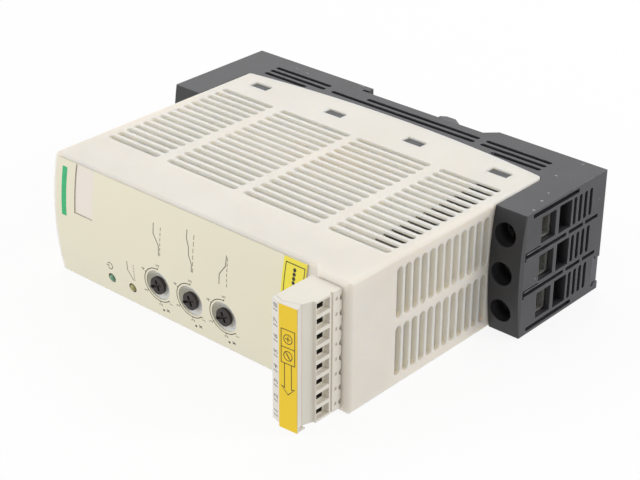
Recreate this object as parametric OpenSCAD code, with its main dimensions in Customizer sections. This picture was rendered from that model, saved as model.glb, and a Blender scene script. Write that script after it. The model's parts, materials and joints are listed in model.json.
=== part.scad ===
// Soft starter for a motor, on a 35 mm rail.
// Sizes below are read from the middle of the back of the base: X across, Y to the back, Z up.
// The finished pieces are carried to the rail seat, which is the origin of the part.

/* [Front housing] */
// Width of the front housing
housing_w = 44.6; // [44.6:0.2:46]
// Height of the front housing
housing_h = 130; // [128:0.5:134]
// Depth from the back of the base to the long front edges
housing_d = 111.3; // [110:0.5:116]
// How far the front bows forward in the middle
front_bow = 2.6; // [2:0.1:3.2]
// Radius of the long front edges
edge_r = 1.4; // [1:0.1:2.4]
// Radius of the long corners between the sides and the ends
side_r = 0.9; // [0.5:0.1:1.4]
// Radius of the front edge at the bottom end
end_r = 2; // [1:0.25:2.5]
// Side and front wall
wall = 2.2; // [2:0.1:2.2]
// Wall of the two ends
end_wall = 2.8; // [2.2:0.1:3]
// Thinner side wall behind the lower end of the slots
thin_wall = 1.3; // [0.8:0.1:1.4]
// Height of that thinner strip
thin_h = 10; // [6:0.5:10]
// Distance of the curved joint line from the back at mid height
joint_mid = 15; // [14.5:0.25:16]
// Distance of the curved joint line from the back at the ends
joint_end = 19.7; // [19:0.1:21]
// Gap between the housing and the base
joint_gap = 0.3; // [0.2:0.05:0.4]
// Radius of the back corners of the sides
corner_r = 2.2; // [1.5:0.1:2.6]

/* [Plug bay] */
// Height of the flat bay behind the plug
bay_h = 12; // [11:0.5:13]
// Height of the ramp above the bay
bay_ramp = 3; // [2.5:0.25:4]
// How far the bay stands forward of the middle of the bowed front
bay_rise = 0.1; // [0.1:0.1:1]

/* [Slots in the housing] */
// Distance between slot rows
slot_pitch = 3.87; // [3.8:0.01:3.95]
// Width of a side slot
slot_w = 2.5; // [2:0.1:2.8]
// Rows of side slots
side_rows = 15; // [12:1:15]
// Distance of the front row from the back of the base
slot_front_d = 91.3; // [90:0.1:93]
// Distance of the outer columns of slots from the ends
slot_end = 4; // [3.6:0.2:6]
// Length of the two outer columns of slots
outer_len = 24; // [20:0.5:24.5]
// Space between the inner columns
column_mid = 3.2; // [2.6:0.2:5]
// Space between an inner and an outer column
column_gap = 4; // [3:0.2:5]
// Slots across one end, in each of its two rows
end_slots = 12; // [9:1:12]
// Length of an end slot
end_slot_len = 17.4; // [14:0.2:18]
// Width of an end slot
end_slot_w = 2.9; // [2.2:0.1:3]
// Space between the two rows of end slots
end_slot_gap = 2.8; // [2:0.2:4]
// Length of a latch window
window_l = 8; // [7:0.2:9]
// Width of a latch window
window_w = 4; // [3.6:0.2:4.4]
// Distance of the latch windows from the back of the base
window_d = 26; // [25.5:0.1:27]
// Distance of the outer latch windows from the ends
window_end = 12.2; // [11:0.2:14]
// Play of a latch tab in its window
tab_play = 0.4; // [0.3:0.05:0.6]
// How far a latch tab stands out of the base
tab_rise = 2.1; // [1.6:0.1:2.2]

/* [Base] */
// How far the sides of the base lie behind the sides of the housing
base_inset = 0.3; // [0.2:0.05:0.5]
// How far the terminal ends stand past the housing
terminal_l = 12; // [11.5:0.25:14]
// Depth of the terminal ends at their long edges
block_d = 44.8; // [44:0.2:48]
// How far the terminal ends bow forward in the middle
block_bow = 2; // [1.5:0.1:2.5]
// Depth of the wall that reaches into the housing
sleeve_d = 38; // [37:0.2:38.6]
// Wall of the base
base_wall = 2.3; // [2:0.1:2.6]
// Thickness of the back of the base under the rail recess
base_floor = 3; // [2.6:0.1:3.4]
// Land between the hollow of the base and the ends of the housing
end_land = 5; // [4:0.25:6]
// Width of a side vent
vent_w = 1.9; // [1.5:0.1:2]
// Distance of the first row of side vents from the back
vent_first_d = 8.7; // [8.5:0.1:8.9]
// Distance between rows of side vents
vent_pitch = 3.15; // [3:0.05:3.2]
// Distance of the side vents from the ends of the housing
vent_end = 3.8; // [3.4:0.2:6]
// Space between one side vent and the next in its row
vent_gap = 2.6; // [2.2:0.1:3.2]
// How much shorter the third row of side vents is
vent_step = 6.6; // [5:0.2:9]

/* [Power terminals] */
// Share of the width of the base between one pole and the next
pole_share = 0.309; // [0.305:0.001:0.313]
// Driver hole
driver_d = 8; // [7.4:0.1:8.4]
// Distance of the driver holes from the end of the base
driver_inset = 6.8; // [6.6:0.1:7]
// Wall between two wire entries
entry_rib = 4.2; // [4:0.1:4.6]
// Front of a wire entry, from the back of the base
entry_front_d = 36.2; // [35.6:0.1:36.8]
// Back of a wire entry, from the back of the base
entry_back_d = 28.2; // [28:0.1:28.6]
// End wall in front of a clamp
entry_wall = 1.8; // [1.4:0.1:2]
// Wall between the cooling openings of two poles
port_rib = 3.6; // [3.4:0.1:4.2]
// Front of a cooling opening, from the back of the base
port_front_d = 26.5; // [26.2:0.1:26.8]
// Back of a cooling opening, from the back of the base
port_back_d = 19.5; // [19:0.1:20]
// Width of an end vent
end_vent_w = 1.8; // [1.4:0.1:2]
// Distance between end vents
end_vent_pitch = 3; // [2.8:0.05:3.05]
// Distance of the last end vent from the back
end_vent_d = 8.6; // [8.4:0.1:9]
// Width of a barrier slot between poles
barrier_w = 1.5; // [1:0.1:1.6]
// Depth of a barrier slot
barrier_deep = 6; // [4:0.5:8]
// Space between the three lengths of a barrier slot
barrier_gap = 1.1; // [0.9:0.1:1.5]
// Metal of a clamp
clamp_t = 1.2; // [1:0.1:1.4]
// How much narrower a busbar is than its wire entry
bar_play = 2.4; // [2.2:0.1:3]
// Thickness of a busbar
bar_t = 1.2; // [1:0.1:1.4]
// Thread of a clamp screw
clamp_screw_d = 4; // [3.5:0.1:4.2]
// Head of a clamp screw
clamp_head_d = 6.6; // [6:0.1:7]

/* [Rail] */
// Width of the rail
rail_w = 35; // [34.8:0.1:35.2]
// Thickness of the edge of the rail
rail_t = 1; // [1:0.1:1.2]
// Depth of the rail recess
rail_seat = 4; // [3.8:0.1:4.2]
// Height of the rail above the middle of the base
rail_rise = 6.5; // [5.5:0.25:7.5]
// How far the fixed hook holds the rail
rail_hook = 2; // [1.5:0.1:2.2]
// Play of the rail in its seat
rail_play = 0.2; // [0.15:0.05:0.3]
// How far the latch holds the rail
latch_grip = 1.5; // [1.2:0.1:1.8]
// Travel of the latch
latch_travel = 4; // [3.5:0.1:4.5]
// Height of the latch bar
latch_h = 10; // [9:0.2:11]
// Width of the stem of the latch
stem_w = 9; // [8:0.2:10]
// Distance of the middle of the stem from the side of the base
stem_side = 7.5; // [7:0.1:8.5]
// Play of the latch in the base
latch_play = 0.3; // [0.25:0.05:0.4]
// Lip that keeps the stem in the base
stem_lip = 0.9; // [0.7:0.1:1]
// Room below the rail for the latch
latch_room = 18.7; // [17.5:0.1:20]
// Length of the ramp at the low end of the recess
recess_ramp = 4.1; // [3:0.1:5]
// Mean diameter of the latch spring
spring_d = 2.6; // [2.4:0.1:2.8]
// Wire of the latch spring
spring_wire = 0.5; // [0.4:0.05:0.6]
// Turns of the latch spring
spring_turns = 9; // [7:1:11]
// Distance of the latch spring from the middle
spring_x = 8; // [4:0.5:12]

/* [Front] */
// Thickness of the front film and of the labels
film_t = 0.25; // [0.2:0.05:0.35]
// Glue under the film and the labels
glue_t = 0.05; // [0.03:0.01:0.08]
// Border that the film leaves free along its sides
film_side = 1.2; // [1.2:0.1:2.4]
// Border that the film leaves free at the top end
film_top = 1.5; // [1:0.1:2.5]
// Space between the film and the ramp of the bay
film_low = 3; // [2:0.25:4]
// Width of the marker plate
marker_w = 17; // [14:0.5:18]
// Height of the marker plate
marker_h = 9; // [7:0.5:10]
// Distance of the marker plate from the top end
marker_drop = 14.8; // [14:0.2:17]
// Depth of the pocket of the marker plate
marker_deep = 0.9; // [0.7:0.1:1.1]
// Play of the marker plate in its pocket
marker_play = 0.12; // [0.1:0.02:0.3]
// Width of the yellow sticker
sticker_w = 22; // [18:0.5:26]
// Height of the yellow sticker
sticker_h = 9; // [8:0.25:10]
// Distance of the lamps from the left side of the housing
lamp_side = 7.3; // [6.6:0.1:8]
// Height of the upper lamp
lamp_z = 38.7; // [37:0.2:41]
// Distance between the lamps
lamp_pitch = 10; // [8:0.5:11]
// Diameter of a lamp
lamp_d = 3; // [2.8:0.1:3.4]
// Play of a lamp in its hole
lamp_play = 0.2; // [0.15:0.05:0.3]
// Distance of the dials from the middle
dial_x = 8.8; // [8:0.2:9.6]
// Height of the middle dial
dial_z = 0.9; // [0:0.1:2]
// Distance between dials
dial_pitch = 14.75; // [14:0.25:15.5]
// Diameter of the dished pocket of a dial
pocket_d = 10.2; // [9.6:0.1:10.6]
// Depth of that pocket
pocket_deep = 0.9; // [0.8:0.05:1.1]
// How much wider the hole in the film is than that pocket
pocket_rim = 0.4; // [0.2:0.1:0.6]
// Diameter of a dial
dial_d = 6.1; // [5.8:0.1:6.4]
// Height of the head of a dial
dial_h = 1.05; // [0.9:0.05:1.1]
// How far a dial stands out of the front
dial_rise = 0.7; // [0.6:0.05:0.9]
// Space round a dial on the floor of its pocket
dial_room = 0.45; // [0.35:0.05:0.6]
// Thickness of the pointer of a dial
pointer_t = 0.75; // [0.6:0.05:0.8]
// How far the pointer stands past the head
pointer_l = 0.7; // [0.5:0.1:0.8]
// Angle of the pointers from straight up, to the left
dial_angle = 25; // [0:5:45]
// Shaft of a dial
dial_shaft = 4; // [3.4:0.1:4.4]
// Play of a dial in its bearings
dial_play = 0.2; // [0.15:0.05:0.3]
// Width of the screwdriver slots
dial_slot = 0.9; // [0.7:0.1:1.1]

/* [Boards] */
// Thickness of the circuit boards
board_t = 1.6; // [1.4:0.1:1.8]
// Distance of the control board from the back of the base
control_d = 96.8; // [96.4:0.1:97]
// Play of the boards in the housing
board_play = 0.5; // [0.4:0.05:0.7]
// Side of a trimmer
trimmer_w = 10; // [9:0.2:11]
// Height of a trimmer
trimmer_h = 6; // [5.5:0.1:6.4]
// Length of the heat sink
sink_h = 90; // [84:1:100]
// Back plate of the heat sink
sink_plate = 4; // [3.5:0.1:4.5]
// Front face of the heat sink, from the back of the base
sink_front_d = 22; // [21.5:0.1:23]
// Fins of the heat sink
sink_fins = 9; // [7:1:10]
// Thickness of a fin
fin_t = 1.2; // [1:0.1:1.5]
// Height of a thyristor module
module_h = 34; // [30:1:36]
// Width of a thyristor module
module_w = 30; // [26:0.5:32]
// Distance between the middles of the thyristor modules
module_pitch = 44; // [40:0.5:46]
// Thread of a module screw
module_screw_d = 3; // [2.5:0.1:3.5]
// How much wider the head of a module screw is than its thread
module_head_w = 2.5; // [2:0.1:3]
// Height of the head of a module screw
module_head_h = 2.2; // [1.8:0.1:2.6]
// Height of the seat of a module screw above the heat sink
module_seat = 4; // [3:0.2:5]

/* [Plug] */
// Distance between ways
plug_pitch = 5.08; // [5:0.01:5.1]
// Distance of the bottom of the plug from the bottom end of the housing
plug_drop = 2.8; // [2.4:0.1:3.2]
// Height of the plug
plug_h = 11.4; // [11.2:0.1:12]
// How far the plug stands out of the bay
plug_out = 17.3; // [16.6:0.1:18]
// Forward slope of the upper front of the plug
roof_rise = 1.2; // [1:0.1:1.6]
// Height of the ridge below the top of the plug
ridge_drop = 3.8; // [3.5:0.1:4.5]
// Backward slope of the lower front of the plug
roof_fall = 0.5; // [0.3:0.1:0.8]
// Thickness of the plate on the front of the plug
plate_t = 1.4; // [1.2:0.1:1.6]
// Thickness of that plate at its lower edge
chin_t = 2.9; // [2.4:0.1:3.2]
// Gap between that plate and the plug
plate_gap = 0.1; // [0.1:0.05:0.2]
// How far the finger lip of that plate stands past the plug
lip_out = 0.9; // [0.7:0.1:1.2]
// Distance from the bay to the step under the front of the plug
step_out = 11.4; // [11:0.1:11.8]
// Depth of that step
step_deep = 0.85; // [0.6:0.05:1]
// Width of a wire funnel
funnel_w = 3.7; // [3.4:0.1:4]
// Length of a wire funnel
funnel_l = 5.6; // [5.4:0.1:5.8]
// Depth of a wire funnel
funnel_deep = 1.7; // [1.4:0.1:2.2]
// How much the tongue is narrower than the plug at each end
plug_shoulder = 1.4; // [1.2:0.1:1.6]
// Length of the tongue that goes into the header
tongue_l = 11; // [9:0.2:11.5]
// Height of the tongue
tongue_h = 8; // [7.4:0.1:8.4]
// Play of the tongue in the header
tongue_play = 0.25; // [0.2:0.05:0.35]
// Wall of the header
header_wall = 0.8; // [0.7:0.05:0.9]
// Diameter of a header pin
pin_d = 1.1; // [1:0.05:1.2]
// Distance of the groove under the plug from its back
plug_groove = 3.9; // [3.6:0.1:4.1]
// Width and depth of that groove
groove_w = 0.7; // [0.5:0.05:0.8]
// Gap between the plug and the bay
plug_gap = 0.2; // [0.2:0.05:0.4]

/* [Parts on the boards] */
// Side of the controller chip
chip_w = 12; // [10:0.5:14]
// Thickness of the controller chip
chip_t = 1.4; // [1:0.1:1.6]
// Width of the output relay
relay_w = 10; // [9:0.5:12]
// Height of the output relay
relay_h = 20; // [18:0.5:22]
// Depth of the output relay
relay_d = 15; // [13:0.5:17]
// Distance of the output relay from the low end of the housing
relay_low = 21; // [19:0.5:23]
// Width of a bypass relay
bypass_w = 12.6; // [11:0.2:13]
// Height of a bypass relay
bypass_h = 28; // [24:0.5:29]
// Depth of a bypass relay
bypass_d = 20; // [18:0.5:24]
// Space between the bypass relays
bypass_gap = 2.4; // [1:0.2:3]
// Width of the supply transformer
coil_w = 26; // [22:0.5:28]
// Height of the supply transformer
coil_h = 28; // [24:0.5:29]
// Depth of the supply transformer
coil_d = 24; // [20:0.5:28]
// Diameter of a capacitor
capacitor_d = 15; // [12:0.5:16]
// Length of a capacitor
capacitor_l = 26; // [22:0.5:32]
// Distance of the capacitors from the low end of the housing
capacitor_low = 27; // [25:0.5:29]
// Height of the link board
link_h = 15; // [12:0.5:16]
// Distance of the link board from the top end of the housing
link_drop = 10.5; // [8:0.5:12]
// Distance of the link board from the edge of the boards
link_edge = 5.6; // [4:0.2:6]

/* [Hidden] */
$fn = 48;
hx = housing_w / 2;
hz = housing_h / 2;
base_w = housing_w - 2 * base_inset;
base_h = housing_h + 2 * terminal_l;
bx = base_w / 2;
bz = base_h / 2;
inner_x = hx - wall;
front_mid = housing_d + front_bow;
bow_r = (hx * hx + front_bow * front_bow) / (2 * front_bow);
bow_y = bow_r - front_mid;
corner_x = hx - edge_r;
corner_y = bow_y - sqrt(pow(bow_r - edge_r, 2) - corner_x * corner_x);
meet_x = corner_x * bow_r / (bow_r - edge_r);
joint_sag = joint_end - joint_mid;
joint_r = (hz * hz + joint_sag * joint_sag) / (2 * joint_sag);
joint_y = -joint_mid - joint_r;
round_z = hz - corner_r;
round_y = joint_y + sqrt(pow(joint_r - corner_r, 2) - round_z * round_z);
block_r = (bx * bx + block_bow * block_bow) / (2 * block_bow);
block_front = block_d + block_bow;
bay_d = front_mid + bay_rise;
bay_top = -hz + bay_h;
sleeve_x = inner_x - joint_gap;
hollow_x = sleeve_x - base_wall;
floor_d = rail_seat + base_floor;
hollow_z = hz - end_land;
block_in = hz + joint_gap;
inner_len = hz - slot_end - outer_len - column_gap - column_mid / 2;
window_pitch = (housing_h - 2 * window_end) / 3;
pole_pitch = base_w * pole_share;
poles = [-pole_pitch, 0, pole_pitch];
entry_w = pole_pitch - entry_rib;
port_w = pole_pitch - port_rib;
bar_w = entry_w - bar_play;
chamber_w = entry_w + 0.6;
chamber_in = block_in + 0.8;
chamber_out = bz - entry_wall;
chamber_front = entry_front_d + 3;
clamp_w = chamber_w - 0.8;
clamp_in = chamber_in + 0.4;
clamp_out = chamber_out - 0.4;
clamp_back_d = entry_back_d;
driver_z = bz - driver_inset;
bar_d = entry_front_d - bar_t;
clamp_front_d = entry_front_d + 0.4 + clamp_t;
bar_in = hollow_z - 2;
board_x = inner_x - board_play;
power_d = sleeve_d + board_t;
rail_top = rail_rise + rail_w / 2;
rail_low = rail_rise - rail_w / 2;
hook_z = rail_top - rail_hook;
recess_low = rail_low - latch_room;
latch_tip = rail_low + latch_grip;
latch_low = latch_tip - latch_h;
latch_front = rail_seat - rail_play;
stem_x = bx - stem_side;
stem_in = stem_x - stem_w / 2;
stem_out = stem_x + stem_w / 2;
lip_y = rail_seat - 1.2;
vent_reach = hz - vent_end;
vent_low = recess_low - 2.3;
vent_len = vent_reach + vent_low - vent_gap;
vent_short = vent_len - vent_step;
spring_low = recess_low - latch_travel - 3;
spring_len = latch_low - spring_low - 2 * spring_wire;
film_x = hx - film_side;
film_top_z = hz - film_top;
film_low_z = bay_top + bay_ramp + film_low;
marker_top = hz - marker_drop + marker_h / 2;
marker_x = film_x - marker_w - 0.2;
dial_y = bow_y - sqrt(bow_r * bow_r - dial_x * dial_x);
dial_face = dial_y - dial_rise;
pocket_y = dial_y + pocket_deep;
pocket_floor = dial_d + 2 * dial_room;
lamp_x = hx - lamp_side;
lamp_y = bow_y - sqrt(bow_r * bow_r - lamp_x * lamp_x);
control_front = control_d + board_t;
dials = [dial_z + dial_pitch, dial_z, dial_z - dial_pitch];
lamps = [lamp_z, lamp_z - lamp_pitch];
header_reach = inner_x - header_wall - tongue_play - 0.05;
plug_ways = floor(2 * (header_reach + plug_shoulder) / plug_pitch);
plug_x = plug_ways * plug_pitch / 2;
plug_low = -hz + plug_drop;
plug_top = plug_low + plug_h;
plug_back = bay_d + plug_gap;
plug_eave = bay_d + plug_out;
ways = [for (i = [0 : plug_ways - 1]) (i - (plug_ways - 1) / 2) * plug_pitch];
way_z = plug_low + plug_h / 2 + 0.2;
step_d = bay_d + step_out;
step_top = plug_low + step_deep;
ridge_d = plug_eave + roof_rise;
ridge_z = plug_top - ridge_drop;
chin_d = ridge_d - roof_fall;
chin_z = plug_low + 1;
nose_z = chin_z + 1.1;
tongue_x = plug_x - plug_shoulder;
header_x = tongue_x + tongue_play + header_wall;
header_h = tongue_h + 2 * (tongue_play + header_wall);
header_front = sqrt(pow(bow_r - wall, 2) - header_x * header_x) - bow_y - 0.3;
cage_front = step_d + 0.7;
cage_back = cage_front - 7;
funnel_d = step_d - 0.3;
wire_w = 2.8;
wire_back = funnel_l - 1;
screw_d = 2.4;
link_x = board_x - link_edge;
link_top = hz - link_drop;
coil_x = 1;
coil_z = -8;
bypass_low = coil_z + coil_h / 2 + 4;
bypass_x = (bypass_w + bypass_gap) / 2;

// Box between two opposite corners
module span(a, b) {
    translate(a)
        cube(b - a);
}

// Flat shape drawn in Y and Z, given a length across X
module across(length) {
    rotate([90, 0, 90])
        linear_extrude(length, center = true)
            children();
}

// Round bar along Y between two depths
module rod(d, y0, y1) {
    translate([0, y1, 0])
        rotate([90, 0, 0])
            cylinder(d = d, h = y1 - y0);
}

// Slot with round ends, along the second direction of its drawing
module slot(length, width) {
    square([width, length - width], center = true);
    for (s = [-1, 1])
        translate([0, s * (length - width) / 2])
            circle(d = width);
}

// The same shape at the top end and at the bottom end
module both_ends() {
    for (s = [0, 1])
        mirror([0, 0, s])
            children();
}

// Cross section of the bowed front: long arc, two round edges, straight sides
module bowed_section() {
    intersection() {
        translate([0, bow_y])
            circle(r = bow_r, $fn = 240);
        translate([-meet_x, -front_mid - 1])
            square([2 * meet_x, front_mid + 1]);
    }
    translate([-hx, corner_y])
        square([2 * hx, -corner_y]);
    for (s = [-1, 1])
        translate([s * corner_x, corner_y])
            circle(r = edge_r);
}

// Cross section of the flat bay
module bay_section() {
    translate([-corner_x, -bay_d])
        square([2 * corner_x, bay_d - housing_d + 2 * edge_r]);
    translate([-hx, -bay_d + edge_r])
        square([2 * hx, bay_d - housing_d + edge_r]);
    for (s = [-1, 1])
        translate([s * corner_x, -bay_d + edge_r])
            circle(r = edge_r);
}

// Side outline of the bay with its ramp and its round lower edge
module bay_outline() {
    back = -housing_d + 2 * edge_r;
    polygon([[back, bay_top + bay_ramp], [-housing_d, bay_top + bay_ramp], [-bay_d, bay_top],
        [-bay_d, -hz + end_r], [-bay_d + end_r, -hz], [back, -hz]]);
    translate([-bay_d + end_r, -hz + end_r])
        circle(r = end_r);
}

// Wedge at a back corner of a side, drawn in Y and Z, beyond the round of the corner
module corner_wedge(r, reach) {
    k = (corner_r + reach) / (joint_r - corner_r);
    far_y = round_y + (round_y - joint_y) * k;
    far_z = round_z + round_z * k;
    for (s = [0, 1])
        mirror([0, s])
            difference() {
                polygon([[round_y, round_z], [far_y, far_z], [far_y, hz + reach], [round_y, hz + reach]]);
                translate([round_y, round_z])
                    circle(r = r);
            }
}

// Shell space inside the bowed front
module inner_section() {
    intersection() {
        translate([0, bow_y])
            circle(r = bow_r - wall, $fn = 240);
        translate([-inner_x, -front_mid])
            square([2 * inner_x, front_mid + 1]);
    }
}

// Dished pocket of a dial, square to the bowed front, from a point on that front
module dial_dish() {
    over = 1;
    flare = (pocket_d - pocket_floor) / pocket_deep;
    rotate([90, 0, -asin(dial_x / bow_r)])
        translate([0, 0, -pocket_deep])
            cylinder(d1 = pocket_floor, d2 = pocket_d + flare * over, h = pocket_deep + over);
}

// Prisms beyond the rounds of the four long corners between sides and ends
module long_corners() {
    for (s = [0, 1], t = [0, 1])
        mirror([s, 0, 0])
            mirror([0, 0, t])
                translate([hx - side_r, 1, hz - side_r])
                    rotate([90, 0, 0])
                        linear_extrude(bay_d + 2)
                            difference() {
                                square(side_r + 1);
                                circle(r = side_r);
                            }
}

// Column of side slots
module slot_column(length, z, first, rows) {
    for (i = [first : first + rows - 1])
        translate([-slot_front_d + i * slot_pitch, z])
            slot(length, slot_w);
}

module side_slots() {
    inner_z = column_mid / 2 + inner_len / 2;
    outer_z = column_mid / 2 + inner_len + column_gap + outer_len / 2;
    for (s = [-1, 1]) {
        slot_column(inner_len, s * inner_z, 0, side_rows);
        slot_column(outer_len, s * outer_z, 0, side_rows);
    }
}

module end_slot_field() {
    for (s = [-1, 1], i = [0 : end_slots - 1])
        translate([s * (end_slot_gap + end_slot_len) / 2, -slot_front_d + i * slot_pitch])
            rotate(90)
                slot(end_slot_len, end_slot_w);
}

module windows(length, width) {
    for (i = [-1.5 : 1.5])
        translate([-window_d, i * window_pitch])
            square([width, length], center = true);
}

module front_housing() {
    thin_low = -hz + end_wall;
    outer_low = -(column_mid / 2 + inner_len + column_gap + outer_len);
    color("#EDE5DB")
        difference() {
            union() {
                difference() {
                    union() {
                        translate([0, 0, bay_top])
                            linear_extrude(hz - bay_top)
                                bowed_section();
                        span([-hx, -housing_d + edge_r, -hz], [hx, 0, bay_top]);
                        intersection() {
                            translate([0, 0, -hz])
                                linear_extrude(bay_h + bay_ramp)
                                    bay_section();
                            across(housing_w)
                                bay_outline();
                        }
                    }
                    translate([0, 0, -hz + end_wall])
                        linear_extrude(housing_h - 2 * end_wall)
                            inner_section();
                }
                // bosses round the dial pockets and ledges that carry the control board
                for (z = dials)
                    translate([-dial_x, 0, z])
                        rod(pocket_d + 2 * wall, dial_y + wall / 2, pocket_y + wall);
                for (s = [-1, 1])
                    span([s > 0 ? inner_x - 2 : -inner_x - wall / 2, -control_front - 2,
                        way_z + header_h / 2 + 1],
                        [s > 0 ? inner_x + wall / 2 : -inner_x + 2, -control_front, hz - end_wall / 2]);
            }
            // back edge on the curved joint line, and the ends open for the base
            difference() {
                span([-hx - 1, -joint_end - 1, -hz - 1], [hx + 1, 1, hz + 1]);
                translate([0, joint_y, 0])
                    rotate([0, 90, 0])
                        cylinder(r = joint_r, h = housing_w + 4, center = true, $fn = 360);
            }
            span([-inner_x, -sleeve_d - joint_gap, -hz - 1], [inner_x, 1, hz + 1]);
            // rounded corners, side slots, end slots and latch windows
            long_corners();
            across(housing_w + 2) {
                corner_wedge(corner_r, 1.5);
                side_slots();
                windows(window_l, window_w);
            }
            both_ends()
                translate([0, 0, hz - end_wall - 1])
                    linear_extrude(end_wall + 2)
                        end_slot_field();
            for (s = [-1, 1])
                span([s > 0 ? 0 : thin_wall - hx, -slot_front_d + 1.5 * slot_pitch, outer_low],
                    [s > 0 ? hx - thin_wall : 0, -sleeve_d + slot_w, outer_low + thin_h]);
            // dial pockets, shaft holes, lamp holes, pocket of the marker plate, plug opening
            for (z = dials)
                translate([-dial_x, 0, z]) {
                    translate([0, dial_y, 0])
                        dial_dish();
                    rod(dial_shaft + 2 * dial_play, -front_mid, pocket_y + wall + 1);
                }
            for (z = lamps)
                translate([-lamp_x, 0, z])
                    rod(lamp_d + 2 * lamp_play, -front_mid - 1, -front_mid + 8);
            marker_space(marker_deep, 0);
            span([-tongue_x - tongue_play, -bay_d - 1, way_z - tongue_h / 2 - tongue_play],
                [tongue_x + tongue_play, -header_front, way_z + tongue_h / 2 + tongue_play]);
        }
}

// Bowed layer on the front, from one distance above it to another
module front_layer(low, high, x0, x1, z0, z1) {
    translate([0, 0, z0])
        linear_extrude(z1 - z0)
            difference() {
                intersection() {
                    translate([0, bow_y])
                        circle(r = bow_r + high, $fn = 240);
                    translate([x0, -front_mid - 2])
                        square([x1 - x0, front_mid / 2]);
                }
                translate([0, bow_y])
                    circle(r = bow_r + low, $fn = 240);
            }
}

// Pocket that the marker plate sits in
module marker_space(deep, play) {
    front_layer(-deep, film_t + 1, marker_x + play, marker_x + marker_w - play,
        marker_top - marker_h + play, marker_top - play);
}

module front_film() {
    color("#E7E2C8")
        difference() {
            front_layer(glue_t, glue_t + film_t, -film_x, film_x, film_low_z, film_top_z);
            for (z = dials)
                translate([-dial_x, 0, z])
                    rod(pocket_d + pocket_rim, -front_mid - 1, -front_mid + 8);
            for (z = lamps)
                translate([-lamp_x, 0, z])
                    rod(lamp_d + 2 * lamp_play, -front_mid - 1, -front_mid + 8);
            marker_space(marker_deep, 0);
        }
}

module marker_plate() {
    color("#E6DFD8")
        front_layer(-marker_deep, -marker_play, marker_x + marker_play, marker_x + marker_w - marker_play,
            marker_top - marker_h + marker_play, marker_top - marker_play);
}

module front_sticker() {
    color("#EFE04E")
        front_layer(2 * glue_t + film_t, 2 * (glue_t + film_t), film_x - sticker_w, film_x,
            film_low_z, film_low_z + sticker_h);
}

// Lamp on the control board with a round lens in the front
module lamp(z) {
    translate([-lamp_x, 0, z]) {
        rod(lamp_d, lamp_y + 0.6, -control_front);
        translate([0, lamp_y + 0.6, 0])
            sphere(d = lamp_d);
        rod(lamp_d + 2, -control_front - 3, -control_front);
    }
}

module power_lamp() {
    color("#4E8A66")
        lamp(lamps[0]);
}

module run_lamp() {
    color("#8F8A45")
        lamp(lamps[1]);
}

// Dial: head with a pointer and a cross slot, on a shaft that goes into its trimmer
module dial(z) {
    shaft_end = -control_front - 1.2;
    color("#4A4243")
        translate([-dial_x, 0, z])
            rotate([0, -dial_angle, 0])
                difference() {
                    union() {
                        rod(dial_d, dial_face, dial_face + dial_h);
                        rod(dial_shaft, dial_face + dial_h - 0.5, shaft_end);
                        translate([0, dial_face + pointer_t, 0])
                            rotate([90, 0, 0])
                                linear_extrude(pointer_t)
                                    polygon([[-dial_d * 0.3, dial_d * 0.36], [dial_d * 0.3, dial_d * 0.36],
                                        [0, dial_d / 2 + pointer_l]]);
                    }
                    span([-dial_slot / 2, dial_face - 1, -dial_d * 0.3],
                        [dial_slot / 2, dial_face + pointer_t, dial_d * 0.5]);
                    span([-dial_d * 0.3, dial_face - 1, -dial_slot / 2],
                        [dial_d * 0.3, dial_face + pointer_t, dial_slot / 2]);
                }
}

module start_dial() {
    dial(dials[0]);
}

module voltage_dial() {
    dial(dials[1]);
}

module stop_dial() {
    dial(dials[2]);
}

// Trimmer on the control board, with a bore for the shaft of its dial
module trimmer(z) {
    color("#3E5C8C")
        translate([-dial_x, 0, z])
            difference() {
                span([-trimmer_w / 2, -control_front - trimmer_h, -trimmer_w / 2],
                    [trimmer_w / 2, -control_front, trimmer_w / 2]);
                rod(dial_shaft + 2 * dial_play, -control_front - trimmer_h - 1, -control_front - 1);
            }
}

module start_trimmer() {
    trimmer(dials[0]);
}

module voltage_trimmer() {
    trimmer(dials[1]);
}

module stop_trimmer() {
    trimmer(dials[2]);
}

module control_board() {
    color("#2F6B46")
        difference() {
            span([-board_x, -control_front, -hz + end_wall + board_play],
                [board_x, -control_d, hz - end_wall - board_play]);
            for (x = ways)
                translate([x, 0, way_z])
                    rod(pin_d + 0.2, -control_front - 1, -control_d + 1);
        }
}

module controller_chip() {
    color("#26262A")
        span([-chip_w / 2, -control_d, -chip_w / 2], [chip_w / 2, -control_d + chip_t, chip_w / 2]);
}

module output_relay() {
    color("#2B2B2F")
        translate([-board_x + relay_w * 0.36, -control_d, -hz + relay_low])
            cube([relay_w, relay_d, relay_h]);
}

module plug_header() {
    color("#DDD5C6")
        difference() {
            span([-header_x, -header_front, way_z - header_h / 2],
                [header_x, -control_front, way_z + header_h / 2]);
            span([-header_x + header_wall, -header_front - 1, way_z - header_h / 2 + header_wall],
                [header_x - header_wall, -control_front - 2.4, way_z + header_h / 2 - header_wall]);
            for (x = ways)
                translate([x, 0, way_z])
                    rod(pin_d + 0.2, -header_front, -control_front + 1);
        }
}

module header_pins() {
    color("#C9C4B4")
        for (x = ways)
            translate([x, 0, way_z])
                rod(pin_d, -header_front + 2, -control_d + 0.8);
}

module power_board() {
    color("#2F6B46")
        difference() {
            span([-board_x, -power_d, -hz + end_wall + board_play],
                [board_x, -sleeve_d, hz - end_wall - board_play]);
            both_ends()
                for (x = poles)
                    span([x - bar_w / 2 - 0.3, -power_d - 1, bar_in - 0.3],
                        [x + bar_w / 2 + 0.3, -sleeve_d + 1, bar_in + bar_t + 0.3]);
        }
}

module link_board() {
    color("#2F6B46")
        span([link_x, -control_d + 0.1, link_top - link_h], [link_x + board_t, -power_d - 0.1, link_top]);
}

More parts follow.
